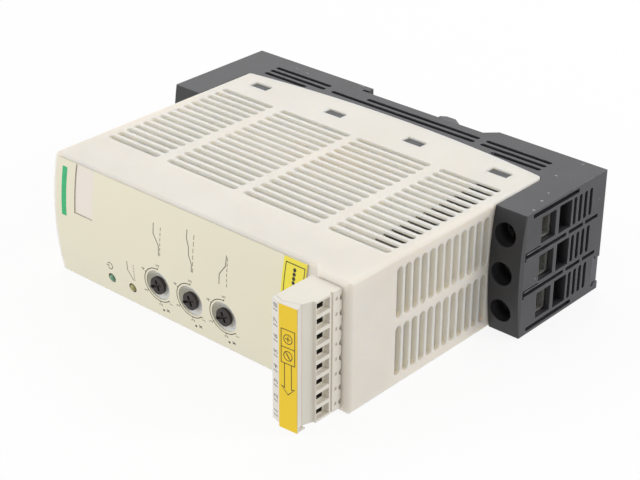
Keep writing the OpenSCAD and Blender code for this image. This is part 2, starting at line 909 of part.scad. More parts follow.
module supply_transformer() {
    color("#B89A4A")
        span([coil_x - coil_w / 2, -power_d - coil_d, coil_z - coil_h / 2],
            [coil_x + coil_w / 2, -power_d, coil_z + coil_h / 2]);
}

module capacitors() {
    color("#33373F")
        for (s = [-1, 1])
            translate([s * capacitor_d * 0.6, 0, -hz + capacitor_low])
                rod(capacitor_d, -power_d - capacitor_l, -power_d);
}

// Bypass relay beside the middle line
module bypass_relay(x) {
    color("#D8D4C8")
        span([x - bypass_w / 2, -power_d - bypass_d, bypass_low],
            [x + bypass_w / 2, -power_d, bypass_low + bypass_h]);
}

module bypass_relay_left() {
    bypass_relay(-bypass_x - 1.5);
}

module bypass_relay_right() {
    bypass_relay(bypass_x - 1.5);
}

module heat_sink() {
    sink_x = hollow_x - 0.6;
    fin_gap = (2 * sink_x - fin_t) / (sink_fins - 1);
    color("#B9BCC0")
        difference() {
            union() {
                span([-sink_x, -sink_front_d, -sink_h / 2],
                    [sink_x, -sink_front_d + sink_plate, sink_h / 2]);
                for (i = [0 : sink_fins - 1])
                    span([-sink_x + i * fin_gap, -sink_front_d + sink_plate - 0.5, -sink_h / 2],
                        [-sink_x + i * fin_gap + fin_t, -floor_d - 0.2, sink_h / 2]);
            }
            module_screw_places()
                rod(module_screw_d + 0.2, -sink_front_d - 1, -sink_front_d + sink_plate + 3);
        }
}

// Places of the four screws that hold the thyristor modules
module module_screw_places() {
    for (s = [-1, 1], t = [-1, 1])
        translate([0, 0, s * module_pitch / 2 + t * (module_h / 2 - 4)])
            children();
}

// Thyristor module with its screw wells and its pins to the power board
module thyristor(z) {
    top = -sleeve_d + 2;
    color("#3A3A3E") {
        difference() {
            span([-module_w / 2, top, z - module_h / 2], [module_w / 2, -sink_front_d, z + module_h / 2]);
            module_screw_places() {
                rod(module_screw_d + 0.4, top - 1, -sink_front_d + 1);
                rod(module_screw_d + module_head_w + 0.9, top - 1, -sink_front_d - module_seat);
            }
        }
        for (x = [-module_w / 3, 0, module_w / 3])
            translate([x, 0, z])
                rod(1.2, -sleeve_d, top);
    }
}

module upper_thyristor() {
    thyristor(module_pitch / 2);
}

module lower_thyristor() {
    thyristor(-module_pitch / 2);
}

module module_screws() {
    color("#A9A9A6")
        module_screw_places() {
            rod(module_screw_d, -sink_front_d - module_seat, -sink_front_d + sink_plate - 0.5);
            rod(module_screw_d + module_head_w, -sink_front_d - module_seat - module_head_h,
                -sink_front_d - module_seat);
        }
}

// Busbars of one end, from the clamps to tabs in the power board
module busbars() {
    color("#C9C4B4")
        for (x = poles) {
            span([x - bar_w / 2, -bar_d - bar_t, bar_in], [x + bar_w / 2, -bar_d, clamp_out - 0.4]);
            span([x - bar_w / 2, -power_d - 1.2, bar_in], [x + bar_w / 2, -bar_d, bar_in + bar_t]);
        }
}

module line_busbars() {
    busbars();
}

module load_busbars() {
    mirror([0, 0, 1])
        busbars();
}

// Clamp cages, each a metal frame round the end of its busbar
module power_clamps() {
    color("#B4B4B0")
        both_ends()
            for (x = poles)
                difference() {
                    span([x - clamp_w / 2, -clamp_front_d, clamp_in],
                        [x + clamp_w / 2, -clamp_back_d, clamp_out]);
                    span([x - clamp_w / 2 + clamp_t * 0.7, -bar_d - bar_t - 0.4, clamp_in - 1],
                        [x + clamp_w / 2 - clamp_t * 0.7, -clamp_back_d - clamp_t, clamp_out + 1]);
                    translate([x, 0, driver_z])
                        rod(clamp_screw_d + 0.3, -clamp_front_d - 1, -bar_d - 1);
                }
}

module clamp_screws() {
    color("#C2C2BE")
        both_ends()
            for (x = poles)
                translate([x, 0, driver_z])
                    difference() {
                        union() {
                            rod(clamp_screw_d, -clamp_front_d - 1, -bar_d - bar_t - 0.1);
                            rod(clamp_head_d, -clamp_front_d - 2.6, -clamp_front_d - 0.6);
                        }
                        span([-clamp_head_d / 2, -clamp_front_d - 3, -0.6],
                            [clamp_head_d / 2, -clamp_front_d - 1.4, 0.6]);
                        span([-0.6, -clamp_front_d - 3, -clamp_head_d * 0.35],
                            [0.6, -clamp_front_d - 1.4, clamp_head_d * 0.35]);
                    }
}

// Side vents of the base: three rows, the last one short
module side_vents() {
    short_high = hook_z - 4.4;
    long_high = vent_reach - vent_len - 3;
    for (i = [0, 1], s = [-1, 1])
        translate([-vent_first_d - i * vent_pitch, s * (vent_reach - vent_len / 2)])
            slot(vent_len, vent_w);
    for (s = [-1, 1])
        translate([-vent_first_d - 2 * vent_pitch, s * (vent_reach - vent_short / 2)])
            slot(vent_short, vent_w);
    translate([-vent_first_d, (short_high + vent_low) / 2])
        slot(short_high - vent_low, vent_w);
    translate([-vent_first_d - vent_pitch, (long_high + vent_low) / 2])
        slot(long_high - vent_low, vent_w);
}

// Barrier slot of one pole edge, drawn across X and Y, in three lengths with a foot
module barrier() {
    front = block_d - 0.8;
    ends = [front + barrier_gap, port_back_d + 2, end_vent_d + 3.4, end_vent_d - 5.2];
    for (i = [0 : 2])
        translate([-barrier_w / 2, -ends[i] + barrier_gap])
            square([barrier_w, ends[i] - ends[i + 1] - barrier_gap]);
    translate([-barrier_w / 2 - 0.95, -front - 0.2])
        square([barrier_w + 2, 0.9]);
    translate([barrier_w / 2 + 0.45, -front])
        square([0.6, 8]);
}

// Openings in one terminal end, drawn across X and Y
module end_openings() {
    for (x = poles) {
        translate([x - port_w / 2, -port_front_d])
            square([port_w, port_front_d - port_back_d]);
        for (i = [0 : 3])
            translate([x, -end_vent_d - i * end_vent_pitch])
                rotate(90)
                    slot(port_w, end_vent_w);
    }
}

module rail_recess() {
    polygon([[-rail_seat, hook_z], [1, hook_z], [1, recess_low - recess_ramp * (1 + 1 / rail_seat)],
        [-rail_seat, recess_low]]);
    translate([-rail_seat, hook_z - 1])
        square([rail_t + 2 * rail_play, rail_hook + rail_play + 1]);
}

module base_housing() {
    color("#6C6C70")
        difference() {
            union() {
                intersection() {
                    union() {
                        both_ends()
                            span([-bx, -block_front - 1, block_in], [bx, 0, bz]);
                        span([-sleeve_x, -sleeve_d, -block_in - 1], [sleeve_x, 0, block_in + 1]);
                        difference() {
                            span([-bx, -joint_end - 1, -block_in - 1], [bx, 0, block_in + 1]);
                            translate([0, joint_y, 0])
                                rotate([0, 90, 0])
                                    cylinder(r = joint_r + joint_gap, h = base_w + 4, center = true,
                                        $fn = 360);
                        }
                        across(base_w)
                            corner_wedge(corner_r + joint_gap, 1.5);
                    }
                    translate([0, block_r - block_front, -bz])
                        cylinder(r = block_r, h = base_h, $fn = 240);
                }
                // tabs that snap into the windows of the housing
                across(2 * (sleeve_x + tab_rise))
                    windows(window_l - 2 * tab_play, window_w - 2 * tab_play);
            }
            // hollow for the heat sink, wider behind the side vents
            span([-hollow_x, -sleeve_d - 1, -hollow_z], [hollow_x, -floor_d, hollow_z]);
            span([-bx + base_wall, -joint_mid + 0.4, -hollow_z + 1],
                [bx - base_wall, -floor_d, hollow_z - 1]);
            across(base_w + 2)
                side_vents();
            // terminal ends
            both_ends() {
                for (x = poles) {
                    span([x - chamber_w / 2, -chamber_front, chamber_in],
                        [x + chamber_w / 2, -entry_back_d + 0.4, chamber_out]);
                    span([x - entry_w / 2, -entry_front_d, chamber_out - 1],
                        [x + entry_w / 2, -entry_back_d, bz + 1]);
                    span([x - bar_w / 2 - 0.4, -bar_d - bar_t - 0.4, hollow_z - 1],
                        [x + bar_w / 2 + 0.4, -bar_d + 0.4, chamber_in + 1]);
                    translate([x, 0, driver_z])
                        rod(driver_d, -block_front - 1, -chamber_front + 1);
                }
                translate([0, 0, hollow_z - 1])
                    linear_extrude(bz - hollow_z + 2)
                        end_openings();
                translate([0, 0, bz - barrier_deep])
                    linear_extrude(barrier_deep + 1) {
                        for (s = [-0.5, 0.5])
                            translate([s * pole_pitch, 0])
                                barrier();
                        for (s = [-1, 1])
                            translate([s * (bx - 1.7) - 0.8, -block_d + 3.6])
                                square([1.6, block_d - port_back_d + 0.1]);
                    }
            }
            // rail recess, channel of the latch stem and seat of its spring
            across(base_w + 2)
                rail_recess();
            span([-stem_out - latch_play, -rail_seat, -bz - 1], [-stem_in + latch_play, 1, recess_low + 1]);
            span([-stem_out - stem_lip - latch_play, -rail_seat, -bz - 1],
                [-stem_in + stem_lip + latch_play, -lip_y + latch_play, recess_low + 1]);
            span([spring_x - 2, -rail_seat, spring_low], [spring_x + 2, 1, recess_low + 1]);
        }
}

// Latch: tooth bar across the recess, stem with keeper lips, guide for the spring
module rail_latch() {
    grip_y = rail_seat - rail_t - 2 * rail_play;
    bar_x = bx - 0.7;
    color("#5C5C60") {
        difference() {
            union() {
                across(2 * bar_x)
                    polygon([[-grip_y, latch_tip], [-grip_y + 1.2, latch_tip], [-0.2, latch_tip - 2],
                        [-0.2, latch_low + 4.2], [-latch_front + 0.5, latch_low], [-latch_front, latch_low],
                        [-latch_front, rail_low - 0.3], [-grip_y, rail_low - 0.3]]);
                span([-stem_out, -latch_front, -bz + 0.3], [-stem_in, -0.4, latch_low + 0.6]);
                span([-stem_out - stem_lip, -latch_front, -bz + 0.3],
                    [-stem_in + stem_lip, -lip_y, recess_low - 0.3]);
            }
            span([-stem_x - 2.2, -rail_seat, -bz + 2.2], [-stem_x + 2.2, 0, -bz + 3.8]);
        }
        translate([spring_x, -rail_seat / 2, latch_low - 4])
            cylinder(d = spring_d - spring_wire - 0.5, h = 5);
    }
}

// Coil between the latch bar and its seat in the base
module latch_spring() {
    color("#A8A8A4")
        translate([spring_x, -rail_seat / 2, spring_low + spring_wire])
            linear_extrude(spring_len, twist = -360 * spring_turns, slices = 14 * spring_turns, $fn = 8)
                translate([spring_d / 2, 0])
                    circle(d = spring_wire, $fn = 8);
}

// Side outline of the plug body
module plug_outline() {
    behind = plate_t + plate_gap;
    polygon([[-plug_back, plug_top], [-plug_eave + behind, plug_top], [-ridge_d + behind, ridge_z],
        [-chin_d + chin_t + plate_gap, nose_z], [-step_d, step_top], [-step_d, plug_low],
            [-plug_back, plug_low]]);
}

// Wire funnel: a square recess, and a hole to the cage in its floor
module funnel() {
    span([-funnel_w / 2, -funnel_d, plug_low - 1],
        [funnel_w / 2, -funnel_d + funnel_l, plug_low + funnel_deep]);
    span([-wire_w / 2, -funnel_d + wire_back - wire_w, plug_low + 1],
        [wire_w / 2, -funnel_d + wire_back, way_z]);
}

module plug_body() {
    color("#E6DED0")
        difference() {
            union() {
                across(2 * plug_x)
                    plug_outline();
                span([-tongue_x, -plug_back - 1, way_z - tongue_h / 2],
                    [tongue_x, -plug_back + tongue_l, way_z + tongue_h / 2]);
            }
            for (x = ways)
                translate([x, 0, 0]) {
                    funnel();
                    // well of the screw, space of the cage and bore of the contact
                    translate([0, 0, way_z]) {
                        rod(screw_d + 1.6, -ridge_d, -cage_front + 1);
                        span([-2.1, -cage_front - 0.1, -2], [2.1, -cage_back + 0.1, 2]);
                        rod(2.6, -cage_back - 1, -plug_back + tongue_l + 1);
                    }
                    // key notch and mark at the edge of the bay
                    translate([-0.3, -plug_back, plug_low - 1])
                        cylinder(d = 2, h = 3);
                    span([-0.6, -plug_back - 3, plug_low - 1], [0.5, -plug_back - 1.9, plug_low + 0.4]);
                }
            span([-plug_x - 1, -plug_back - plug_groove - groove_w, plug_low - 1],
                [plug_x + 1, -plug_back - plug_groove, plug_low + groove_w]);
        }
}

// Plate clipped on the front of the plug; its lower half ends in a finger lip
module plug_plate() {
    lip_x = plug_x + lip_out;
    color("#E9E4D8") {
        across(2 * plug_x)
            polygon([[-plug_eave, plug_top], [-ridge_d, ridge_z], [-chin_d, chin_z],
                [-chin_d + chin_t, nose_z],
                [-ridge_d + plate_t, ridge_z], [-plug_eave + plate_t, plug_top]]);
        translate([-plug_x, 0, 0])
            across(2 * lip_out)
                polygon([[-ridge_d, ridge_z], [-chin_d, chin_z], [-chin_d + 1.1, chin_z + 0.4],
                    [-ridge_d + 1.1, ridge_z]]);
        span([-lip_x, -chin_d + 0.5, chin_z + 0.2], [-lip_x + 0.5, -chin_d + 3.4, chin_z + 2.4]);
    }
}

// Yellow field on the lower front of the plate
module plug_label() {
    slope = roof_fall / (ridge_z - chin_z);
    edge = 0.08;
    color("#EBC93B")
        translate([-lip_out / 2, 0, 0])
            across(2 * plug_x + lip_out - 2 * edge)
                polygon([[-ridge_d + edge * slope, ridge_z - edge],
                    [-ridge_d + edge * slope - film_t, ridge_z - edge],
                    [-chin_d - edge * slope - film_t, chin_z + edge],
                        [-chin_d - edge * slope, chin_z + edge]]);
}

// Clamp cages of the plug with their contact tubes
module plug_cages() {
    color("#B4B4B0")
        for (x = ways)
            translate([x, 0, way_z])
                difference() {
                    union() {
                        span([-1.9, -cage_front, -1.9], [1.9, -cage_back, 1.9]);
                        rod(2.3, -cage_back - 0.5, -plug_back + tongue_l - 0.4);
                    }
                    span([-1.3, -funnel_d + wire_back - wire_w + 0.1, -3],
                        [1.3, -funnel_d + wire_back - 0.1, 1]);
                    rod(pin_d + 0.4, -cage_back - 1, -plug_back + tongue_l);
                    rod(screw_d + 0.2, -cage_front - 1, -cage_front + 2);
                }
}

module plug_screws() {
    color("#C2C2BE")
        for (x = ways)
            translate([x, 0, way_z])
                difference() {
                    union() {
                        rod(screw_d, -cage_front - 1, -cage_front + 1.6);
                        rod(screw_d + 1.2, -cage_front - 2.4, -cage_front - 0.6);
                    }
                    span([-2, -cage_front - 3, -0.3], [2, -cage_front - 1.6, 0.3]);
                }
}

// Carries a finished piece from the back of the base to the rail seat
module placed() {
    translate([0, rail_seat, -rail_rise])
        children();
}

placed() front_housing();
placed() base_housing();
placed() front_film();
placed() marker_plate();
placed() front_sticker();
placed() power_lamp();
placed() run_lamp();
placed() start_dial();
placed() voltage_dial();
placed() stop_dial();
placed() start_trimmer();
placed() voltage_trimmer();
placed() stop_trimmer();
placed() control_board();
placed() controller_chip();
placed() output_relay();
placed() plug_header();
placed() header_pins();
placed() power_board();
placed() link_board();
placed() supply_transformer();
placed() capacitors();
placed() bypass_relay_left();
placed() bypass_relay_right();
placed() heat_sink();
placed() upper_thyristor();
placed() lower_thyristor();
placed() module_screws();
placed() line_busbars();
placed() load_busbars();
placed() power_clamps();
placed() clamp_screws();
placed() rail_latch();
placed() latch_spring();
placed() plug_body();
placed() plug_plate();
placed() plug_label();
placed() plug_cages();
placed() plug_screws();
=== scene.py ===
# %% [markdown]
# # A soft starter on its side
# A soft starter brings a motor up to speed gently. It is a slim box for a switch cabinet: a dark base that
# hooks on a rail and holds the heavy terminals, a pale slotted housing over it, three small setting dials
# and a plug for the control wires. The solids are loaded first and stay where they are. This lesson gives
# them their finishes and softened edges, winds the one spring, and adds all that is printed on them.

# %% Load the solids
import json
import math
import bmesh
import bpy
from mathutils import Matrix, Vector


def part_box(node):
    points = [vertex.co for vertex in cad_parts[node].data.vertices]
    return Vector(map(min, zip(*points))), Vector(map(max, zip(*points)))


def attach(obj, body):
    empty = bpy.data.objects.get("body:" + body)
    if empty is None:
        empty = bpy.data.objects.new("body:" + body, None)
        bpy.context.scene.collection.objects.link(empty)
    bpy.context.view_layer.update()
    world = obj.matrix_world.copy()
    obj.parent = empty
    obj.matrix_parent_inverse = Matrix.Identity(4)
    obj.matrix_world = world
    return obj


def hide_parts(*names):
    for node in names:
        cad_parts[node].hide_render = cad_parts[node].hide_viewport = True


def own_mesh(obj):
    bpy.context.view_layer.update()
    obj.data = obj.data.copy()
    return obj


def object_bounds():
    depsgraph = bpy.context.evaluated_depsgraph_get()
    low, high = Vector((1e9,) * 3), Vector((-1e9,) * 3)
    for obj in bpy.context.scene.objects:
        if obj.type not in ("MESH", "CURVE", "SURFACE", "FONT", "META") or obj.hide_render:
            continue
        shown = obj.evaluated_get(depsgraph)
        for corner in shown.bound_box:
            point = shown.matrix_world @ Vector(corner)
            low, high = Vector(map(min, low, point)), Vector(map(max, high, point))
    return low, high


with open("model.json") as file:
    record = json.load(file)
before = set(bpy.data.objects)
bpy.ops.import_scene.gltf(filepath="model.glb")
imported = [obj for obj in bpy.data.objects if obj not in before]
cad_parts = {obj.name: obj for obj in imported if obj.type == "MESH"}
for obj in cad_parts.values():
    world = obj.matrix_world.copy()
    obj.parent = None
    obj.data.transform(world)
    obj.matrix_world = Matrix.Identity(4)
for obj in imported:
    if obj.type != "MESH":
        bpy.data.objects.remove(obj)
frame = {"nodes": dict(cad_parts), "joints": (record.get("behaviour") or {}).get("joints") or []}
nodes = frame["nodes"]
joints = {joint["name"]: joint for joint in frame["joints"]}
cad_low, cad_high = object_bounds()
scene = bpy.context.scene
print("solids:", len(nodes), "box in mm:", [round(v * 1000, 1) for v in cad_high - cad_low])

# %% [markdown]
# ## Measuring as on a drawing
# The origin is the rail seat, but a drawing of this device starts at the middle of the back of its base:
# X across, Y to the back, Z up, in millimetres. One small function turns such numbers into a place in the
# scene. A second one finds points on the bowed front, because nearly all the print lies on it. The places
# of the dials and lamps could be typed in, but read from the joints and the solids they always agree.

# %% Places from drawing sizes
MM = 0.001
RAIL_SEAT = cad_high.y / MM
RAIL_RISE = -(cad_low.z + cad_high.z) / 2 / MM
HALF_WIDTH = cad_high.x / MM
FRONT_BOW = 2.6
FRONT_MID = 113.9
BOW_R = (HALF_WIDTH ** 2 + FRONT_BOW ** 2) / (2 * FRONT_BOW)
BOW_Y = BOW_R - FRONT_MID
FILM_TOP = 0.3
STICKER_TOP = 0.6


def at(x, y, z):
    """Place in the scene of a point given in drawing millimetres."""
    return Vector((x, y + RAIL_SEAT, z - RAIL_RISE)) * MM


def on_bow(x, z, lift):
    """Point on the bowed front, lifted off it by some millimetres."""
    r = BOW_R + lift
    return at(x, BOW_Y - math.sqrt(r * r - x * x), z)


print("radius of the bowed front in mm:", round(BOW_R, 1))


# %% Places of dials and lamps
def middle_of(node):
    """Middle of a solid in drawing millimetres."""
    low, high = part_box(node)
    return (low + high) / 2 / MM - Vector((0, RAIL_SEAT, -RAIL_RISE))


DIAL_X = joints["start_turn"]["pos_m"][0] / MM
DIALS = {name: joints[name + "_turn"]["pos_m"][2] / MM + RAIL_RISE for name in ("start", "voltage", "stop")}
LAMP_X = middle_of("power_lamp").x
LAMPS = {name: middle_of(name + "_lamp").z for name in ("power", "run")}
print("dials at X mm:", round(DIAL_X, 2), "and Z mm:", [round(z, 2) for z in DIALS.values()])
print("lamps at X mm:", round(LAMP_X, 2), "and Z mm:", [round(z, 2) for z in LAMPS.values()])

# %% [markdown]
# ## Camera
# The picture shows the device lying on its left side, seen from its front and its bottom end. The place,
# the direction of view and the upward direction were worked out from straight edges of known length. The
# long lens keeps the edges nearly parallel, as in most product pictures.

# %% Camera
CAMERA_PLACE = Vector((0.25675, -0.42617, -0.33847))
CAMERA_VIEW = Vector((-0.46979, 0.66238, 0.58357)).normalized()
CAMERA_UP = Vector((0.88275, 0.34712, 0.31664)).normalized()
CAMERA_LENS = 94.4
CAMERA_SENSOR = 36.0

camera_right = CAMERA_VIEW.cross(CAMERA_UP).normalized()
camera_top = camera_right.cross(CAMERA_VIEW)
turn = Matrix((camera_right, camera_top, -CAMERA_VIEW)).transposed()
camera_data = bpy.data.cameras.new("camera")
camera_data.lens = CAMERA_LENS
camera_data.sensor_width = CAMERA_SENSOR
camera = bpy.data.objects.new("camera", camera_data)
camera.matrix_world = Matrix.Translation(CAMERA_PLACE) @ turn.to_4x4()
scene.collection.objects.link(camera)
scene.camera = camera
print("camera lens in mm:", CAMERA_LENS)

# %% [markdown]
# ## White studio
# The object lies in a white tent, so light comes from everywhere and shadows are faint. A tent could be
# modelled, but a white world gives the same light with less work. For the camera, and in gloss, the world is
# plain white. Four large soft lamps add a little shape.

# %% White world
scene.view_settings.view_transform = "Standard"
WHITE = (1, 1, 1, 1)
WORLD_LIGHT = 0.6
PLAIN_WHITE = 1.0


def white_world():
    """World that lights the object softly, and looks plain white to the camera, in gloss and in glass."""
    world = bpy.data.worlds.new("white_tent")
    scene.world = world
    world.use_nodes = True
    tree = world.node_tree
    tree.nodes.clear()
    out = tree.nodes.new("ShaderNodeOutputWorld")
    mix = tree.nodes.new("ShaderNodeMixShader")
    path = tree.nodes.new("ShaderNodeLightPath")
    seen = path.outputs["Is Camera Ray"]
    for ray in ("Is Glossy Ray", "Is Transmission Ray"):
        either = tree.nodes.new("ShaderNodeMath")
        either.operation = "MAXIMUM"
        tree.links.new(seen, either.inputs[0])
        tree.links.new(path.outputs[ray], either.inputs[1])
        seen = either.outputs[0]
    tree.links.new(seen, mix.inputs[0])
    for socket, strength in ((mix.inputs[1], WORLD_LIGHT), (mix.inputs[2], PLAIN_WHITE)):
        light = tree.nodes.new("ShaderNodeBackground")
        light.inputs["Color"].default_value = WHITE
        light.inputs["Strength"].default_value = strength
        tree.links.new(light.outputs[0], socket)
    tree.links.new(mix.outputs[0], out.inputs["Surface"])


white_world()
print("strength of the world's light:", WORLD_LIGHT)

# %% Soft lamps
# Name, direction from the object, distance and size in metres, and level.
STUDIO_LAMPS = [
    ("lamp_above", (0.7, 0.55, 0.45), 1.1, 1.0, 0.24),
    ("lamp_front_left", (0.25, -0.8, 0.55), 0.9, 0.7, 0.36),
    ("lamp_bottom_end", (0.5, 0.45, -0.74), 0.9, 0.5, 0.31),
    ("lamp_behind", (-0.55, 0.8, 0.25), 1.0, 0.8, 0.22),
]


def soft_lamp(name, direction, distance, size, level):
    """Square lamp that shines at the middle of the object. Level 1 lights white paint to white."""
    data = bpy.data.lights.new(name, "AREA")
    data.shape = "SQUARE"
    data.size = size
    data.energy = level * (math.pi * distance) ** 2
    lamp = bpy.data.objects.new(name, data)
    way = Vector(direction).normalized()
    lamp.location = (cad_low + cad_high) / 2 + way * distance
    lamp.rotation_mode = "QUATERNION"
    lamp.rotation_quaternion = way.to_track_quat("Z", "Y")
    scene.collection.objects.link(lamp)


for studio_lamp in STUDIO_LAMPS:
    soft_lamp(*studio_lamp)

# %% [markdown]
# ## Floor
# The floor is under the side that the device lies on. Plain white paint would turn grey in the shade, so it
# is mixed from white glow and white paint: the paint takes the shadow, the glow keeps it pale. Seen from
# behind, the floor lets the view through, so that the side that lies on it can be looked at too.

# %% Floor
FLOOR_SIZE = 6.0
FLOOR_GAP = 0.05 * MM
PAINT_SHARE = 0.13


def floor_white():
    paint = bpy.data.materials.new("floor_white")
    paint.use_nodes = True
    tree = paint.node_tree
    tree.nodes.clear()
    out = tree.nodes.new("ShaderNodeOutputMaterial")
    glow = tree.nodes.new("ShaderNodeEmission")
    glow.inputs["Strength"].default_value = PLAIN_WHITE
    white = tree.nodes.new("ShaderNodeBsdfDiffuse")
    white.inputs["Color"].default_value = WHITE
    front = tree.nodes.new("ShaderNodeMixShader")
    front.inputs[0].default_value = PAINT_SHARE
    clear = tree.nodes.new("ShaderNodeBsdfTransparent")
    side = tree.nodes.new("ShaderNodeNewGeometry")
    one_sided = tree.nodes.new("ShaderNodeMixShader")
    tree.links.new(glow.outputs[0], front.inputs[1])
    tree.links.new(white.outputs[0], front.inputs[2])
    tree.links.new(side.outputs["Backfacing"], one_sided.inputs[0])
    tree.links.new(front.outputs[0], one_sided.inputs[1])
    tree.links.new(clear.outputs[0], one_sided.inputs[2])
    tree.links.new(one_sided.outputs[0], out.inputs["Surface"])
    return paint


def pale_floor(x):
    half = FLOOR_SIZE / 2
    mesh = bpy.data.meshes.new("floor")
    corners = [(x, -half, -half), (x, half, -half), (x, half, half), (x, -half, half)]
    mesh.from_pydata(corners, [], [(0, 1, 2, 3)])
    mesh.materials.append(floor_white())
    floor = bpy.data.objects.new("floor", mesh)
    scene.collection.objects.link(floor)
    floor.visible_diffuse = False
    floor.visible_shadow = False


pale_floor(cad_low.x - FLOOR_GAP)
print("floor under the left side at X mm:", round(cad_low.x / MM, 2))

# %% [markdown]
# ## Finishes from nodes
# A finish is a material: one shader, and nodes that feed it. A picture of the surface could be wrapped on,
# but noise made from the place in millimetres needs no wrapping and fits every piece. The helpers come in
# four short steps, each built on the one before: the bare shader, patterns, masks by place, and what goes
# into the shader.

# %% Colours and the bare shader
def linear(r, g, b):
    """Scene colour from screen values of 0 to 255."""
    def one(v):
        v /= 255.0
        return v / 12.92 if v <= 0.04045 else ((v + 0.055) / 1.055) ** 2.4
    return (one(r), one(g), one(b), 1.0)


def shade(colour, k):
    return (colour[0] * k, colour[1] * k, colour[2] * k, 1.0)


class BareFinish:
    """Material with one glossy-and-matt shader, and short calls to add and link nodes."""

    def __init__(self, name, colour, rough, metallic=0.0, gloss=0.5):
        self.material = bpy.data.materials.new(name)
        self.material.use_nodes = True
        self.tree = self.material.node_tree
        self.tree.nodes.clear()
        self.out = self.add("OutputMaterial")
        self.shader = self.add("BsdfPrincipled")
        self.shader.inputs["Base Color"].default_value = colour
        self.shader.inputs["Roughness"].default_value = rough
        self.shader.inputs["Metallic"].default_value = metallic
        self.shader.inputs["Specular IOR Level"].default_value = gloss
        self.colour = colour
        self.rough = rough
        self.link(self.shader.outputs[0], self.out.inputs["Surface"])
        self.place = self.add("TexCoord").outputs["Object"]

    def add(self, kind):
        return self.tree.nodes.new("ShaderNode" + kind)

    def link(self, a, b):
        self.tree.links.new(a, b)


print("middle grey in scene values:", round(linear(128, 128, 128)[0], 3))

# %% Patterns
MOST_NOISE = (0.3, 0.7)
MID_NOISE = (0.35, 0.65)


class PatternedFinish(BareFinish):
    """Noise, and nodes that turn a value into colours."""

    def noise(self, size_mm, detail=2.0, stretch=(1, 1, 1)):
        """Noise whose spots are about this many millimetres, longer where stretch is above 1."""
        mapping = self.add("Mapping")
        mapping.inputs["Scale"].default_value = [1 / (size_mm * MM * s) for s in stretch]
        texture = self.add("TexNoise")
        texture.inputs["Scale"].default_value = 1.0
        texture.inputs["Detail"].default_value = detail
        self.link(self.place, mapping.inputs["Vector"])
        self.link(mapping.outputs[0], texture.inputs["Vector"])
        return texture.outputs["Fac"]

    def scaled(self, value, low, high, out_low=0.0, out_high=1.0):
        """Value stretched so that low gives out_low and high gives out_high."""
        node = self.add("MapRange")
        for socket, number in zip(node.inputs[1:5], (low, high, out_low, out_high)):
            socket.default_value = number
        self.link(value, node.inputs[0])
        return node.outputs[0]

    def ramp(self, value, stops):
        """Colours at stops along a value."""
        node = self.add("ValToRGB")
        band = node.color_ramp.elements
        while len(band) < len(stops):
            band.new(0.5)
        for step, (place, colour) in zip(band, stops):
            step.position = place
            step.color = colour
        self.link(value, node.inputs[0])
        return node.outputs[0]

    def blend(self, value, a, b):
        """Colour a where value is 0 and b where it is 1; either may be another node's colour."""
        node = self.add("Mix")
        node.data_type = "RGBA"
        self.link(value, node.inputs[0])
        for socket, colour in ((node.inputs[6], a), (node.inputs[7], b)):
            if isinstance(colour, tuple):
                socket.default_value = colour
            else:
                self.link(colour, socket)
        return node.outputs[2]

    def shades(self, value, dark, bright, ends=MOST_NOISE):
        """The finish's own colour, from a dark to a bright shade as the value goes between two ends."""
        return self.ramp(value, [(ends[0], shade(self.colour, dark)), (ends[1], shade(self.colour, bright))])

    def speckled(self, tint, value, share, k):
        """A tint that takes up to this share of another shade of the finish's colour."""
        return self.blend(self.scaled(value, *MOST_NOISE, 0.0, share), tint, shade(self.colour, k))


print("noise mostly lies between", MOST_NOISE)

# %% Masks by place
BEVEL_SAMPLES = 6


class PlacedFinish(PatternedFinish):
    """Masks that are 1 where a tint goes and 0 elsewhere, found from the place."""

    def along(self, axis, low, high, middle=None):
        """0 at low and 1 at high in drawing millimetres along an axis, or both ways from a middle."""
        split = self.add("SeparateXYZ")
        self.link(self.place, split.inputs[0])
        value = split.outputs[axis]
        zero = {"X": 0.0, "Y": RAIL_SEAT, "Z": -RAIL_RISE}[axis]
        if middle is None:
            return self.scaled(value, (low + zero) * MM, (high + zero) * MM)
        off = self.add("Math")
        off.operation = "SUBTRACT"
        off.inputs[1].default_value = (middle + zero) * MM
        away = self.add("Math")
        away.operation = "ABSOLUTE"
        self.link(value, off.inputs[0])
        self.link(off.outputs[0], away.inputs[0])
        return self.scaled(away.outputs[0], low * MM, high * MM)

    def times(self, *values):
        product = values[0]
        for value in values[1:]:
            node = self.add("Math")
            node.operation = "MULTIPLY"
            self.link(product, node.inputs[0])
            self.link(value, node.inputs[1])
            product = node.outputs[0]
        return product

    def reach(self, x, y, z, flat=False):
        """Distance in metres from a drawing point, or from the axis along Y through it when flat."""
        point = at(x, y, z)
        here = self.place
        if flat:
            point.y = 0.0
            pressed = self.add("VectorMath")
            pressed.operation = "MULTIPLY"
            pressed.inputs[1].default_value = (1, 0, 1)
            self.link(here, pressed.inputs[0])
            here = pressed.outputs[0]
        apart = self.add("VectorMath")
        apart.operation = "DISTANCE"
        apart.inputs[1].default_value = point
        self.link(here, apart.inputs[0])
        return apart.outputs["Value"]

    def rounded(self, radius_mm):
        """Direction of the surface, as if its edges had a small round."""
        soft = self.add("Bevel")
        soft.samples = BEVEL_SAMPLES
        soft.inputs["Radius"].default_value = radius_mm * MM
        return soft.outputs[0]

    def edges(self, radius_mm, low=0.02, high=0.2):
        """1 along edges: there the rounded direction leans away from the flat one."""
        flat = self.add("NewGeometry")
        lean = self.add("VectorMath")
        lean.operation = "DOT_PRODUCT"
        self.link(self.rounded(radius_mm), lean.inputs[0])
        self.link(flat.outputs["True Normal"], lean.inputs[1])
        return self.scaled(lean.outputs["Value"], 1 - low, 1 - high)


print("samples for a rounded edge:", BEVEL_SAMPLES)


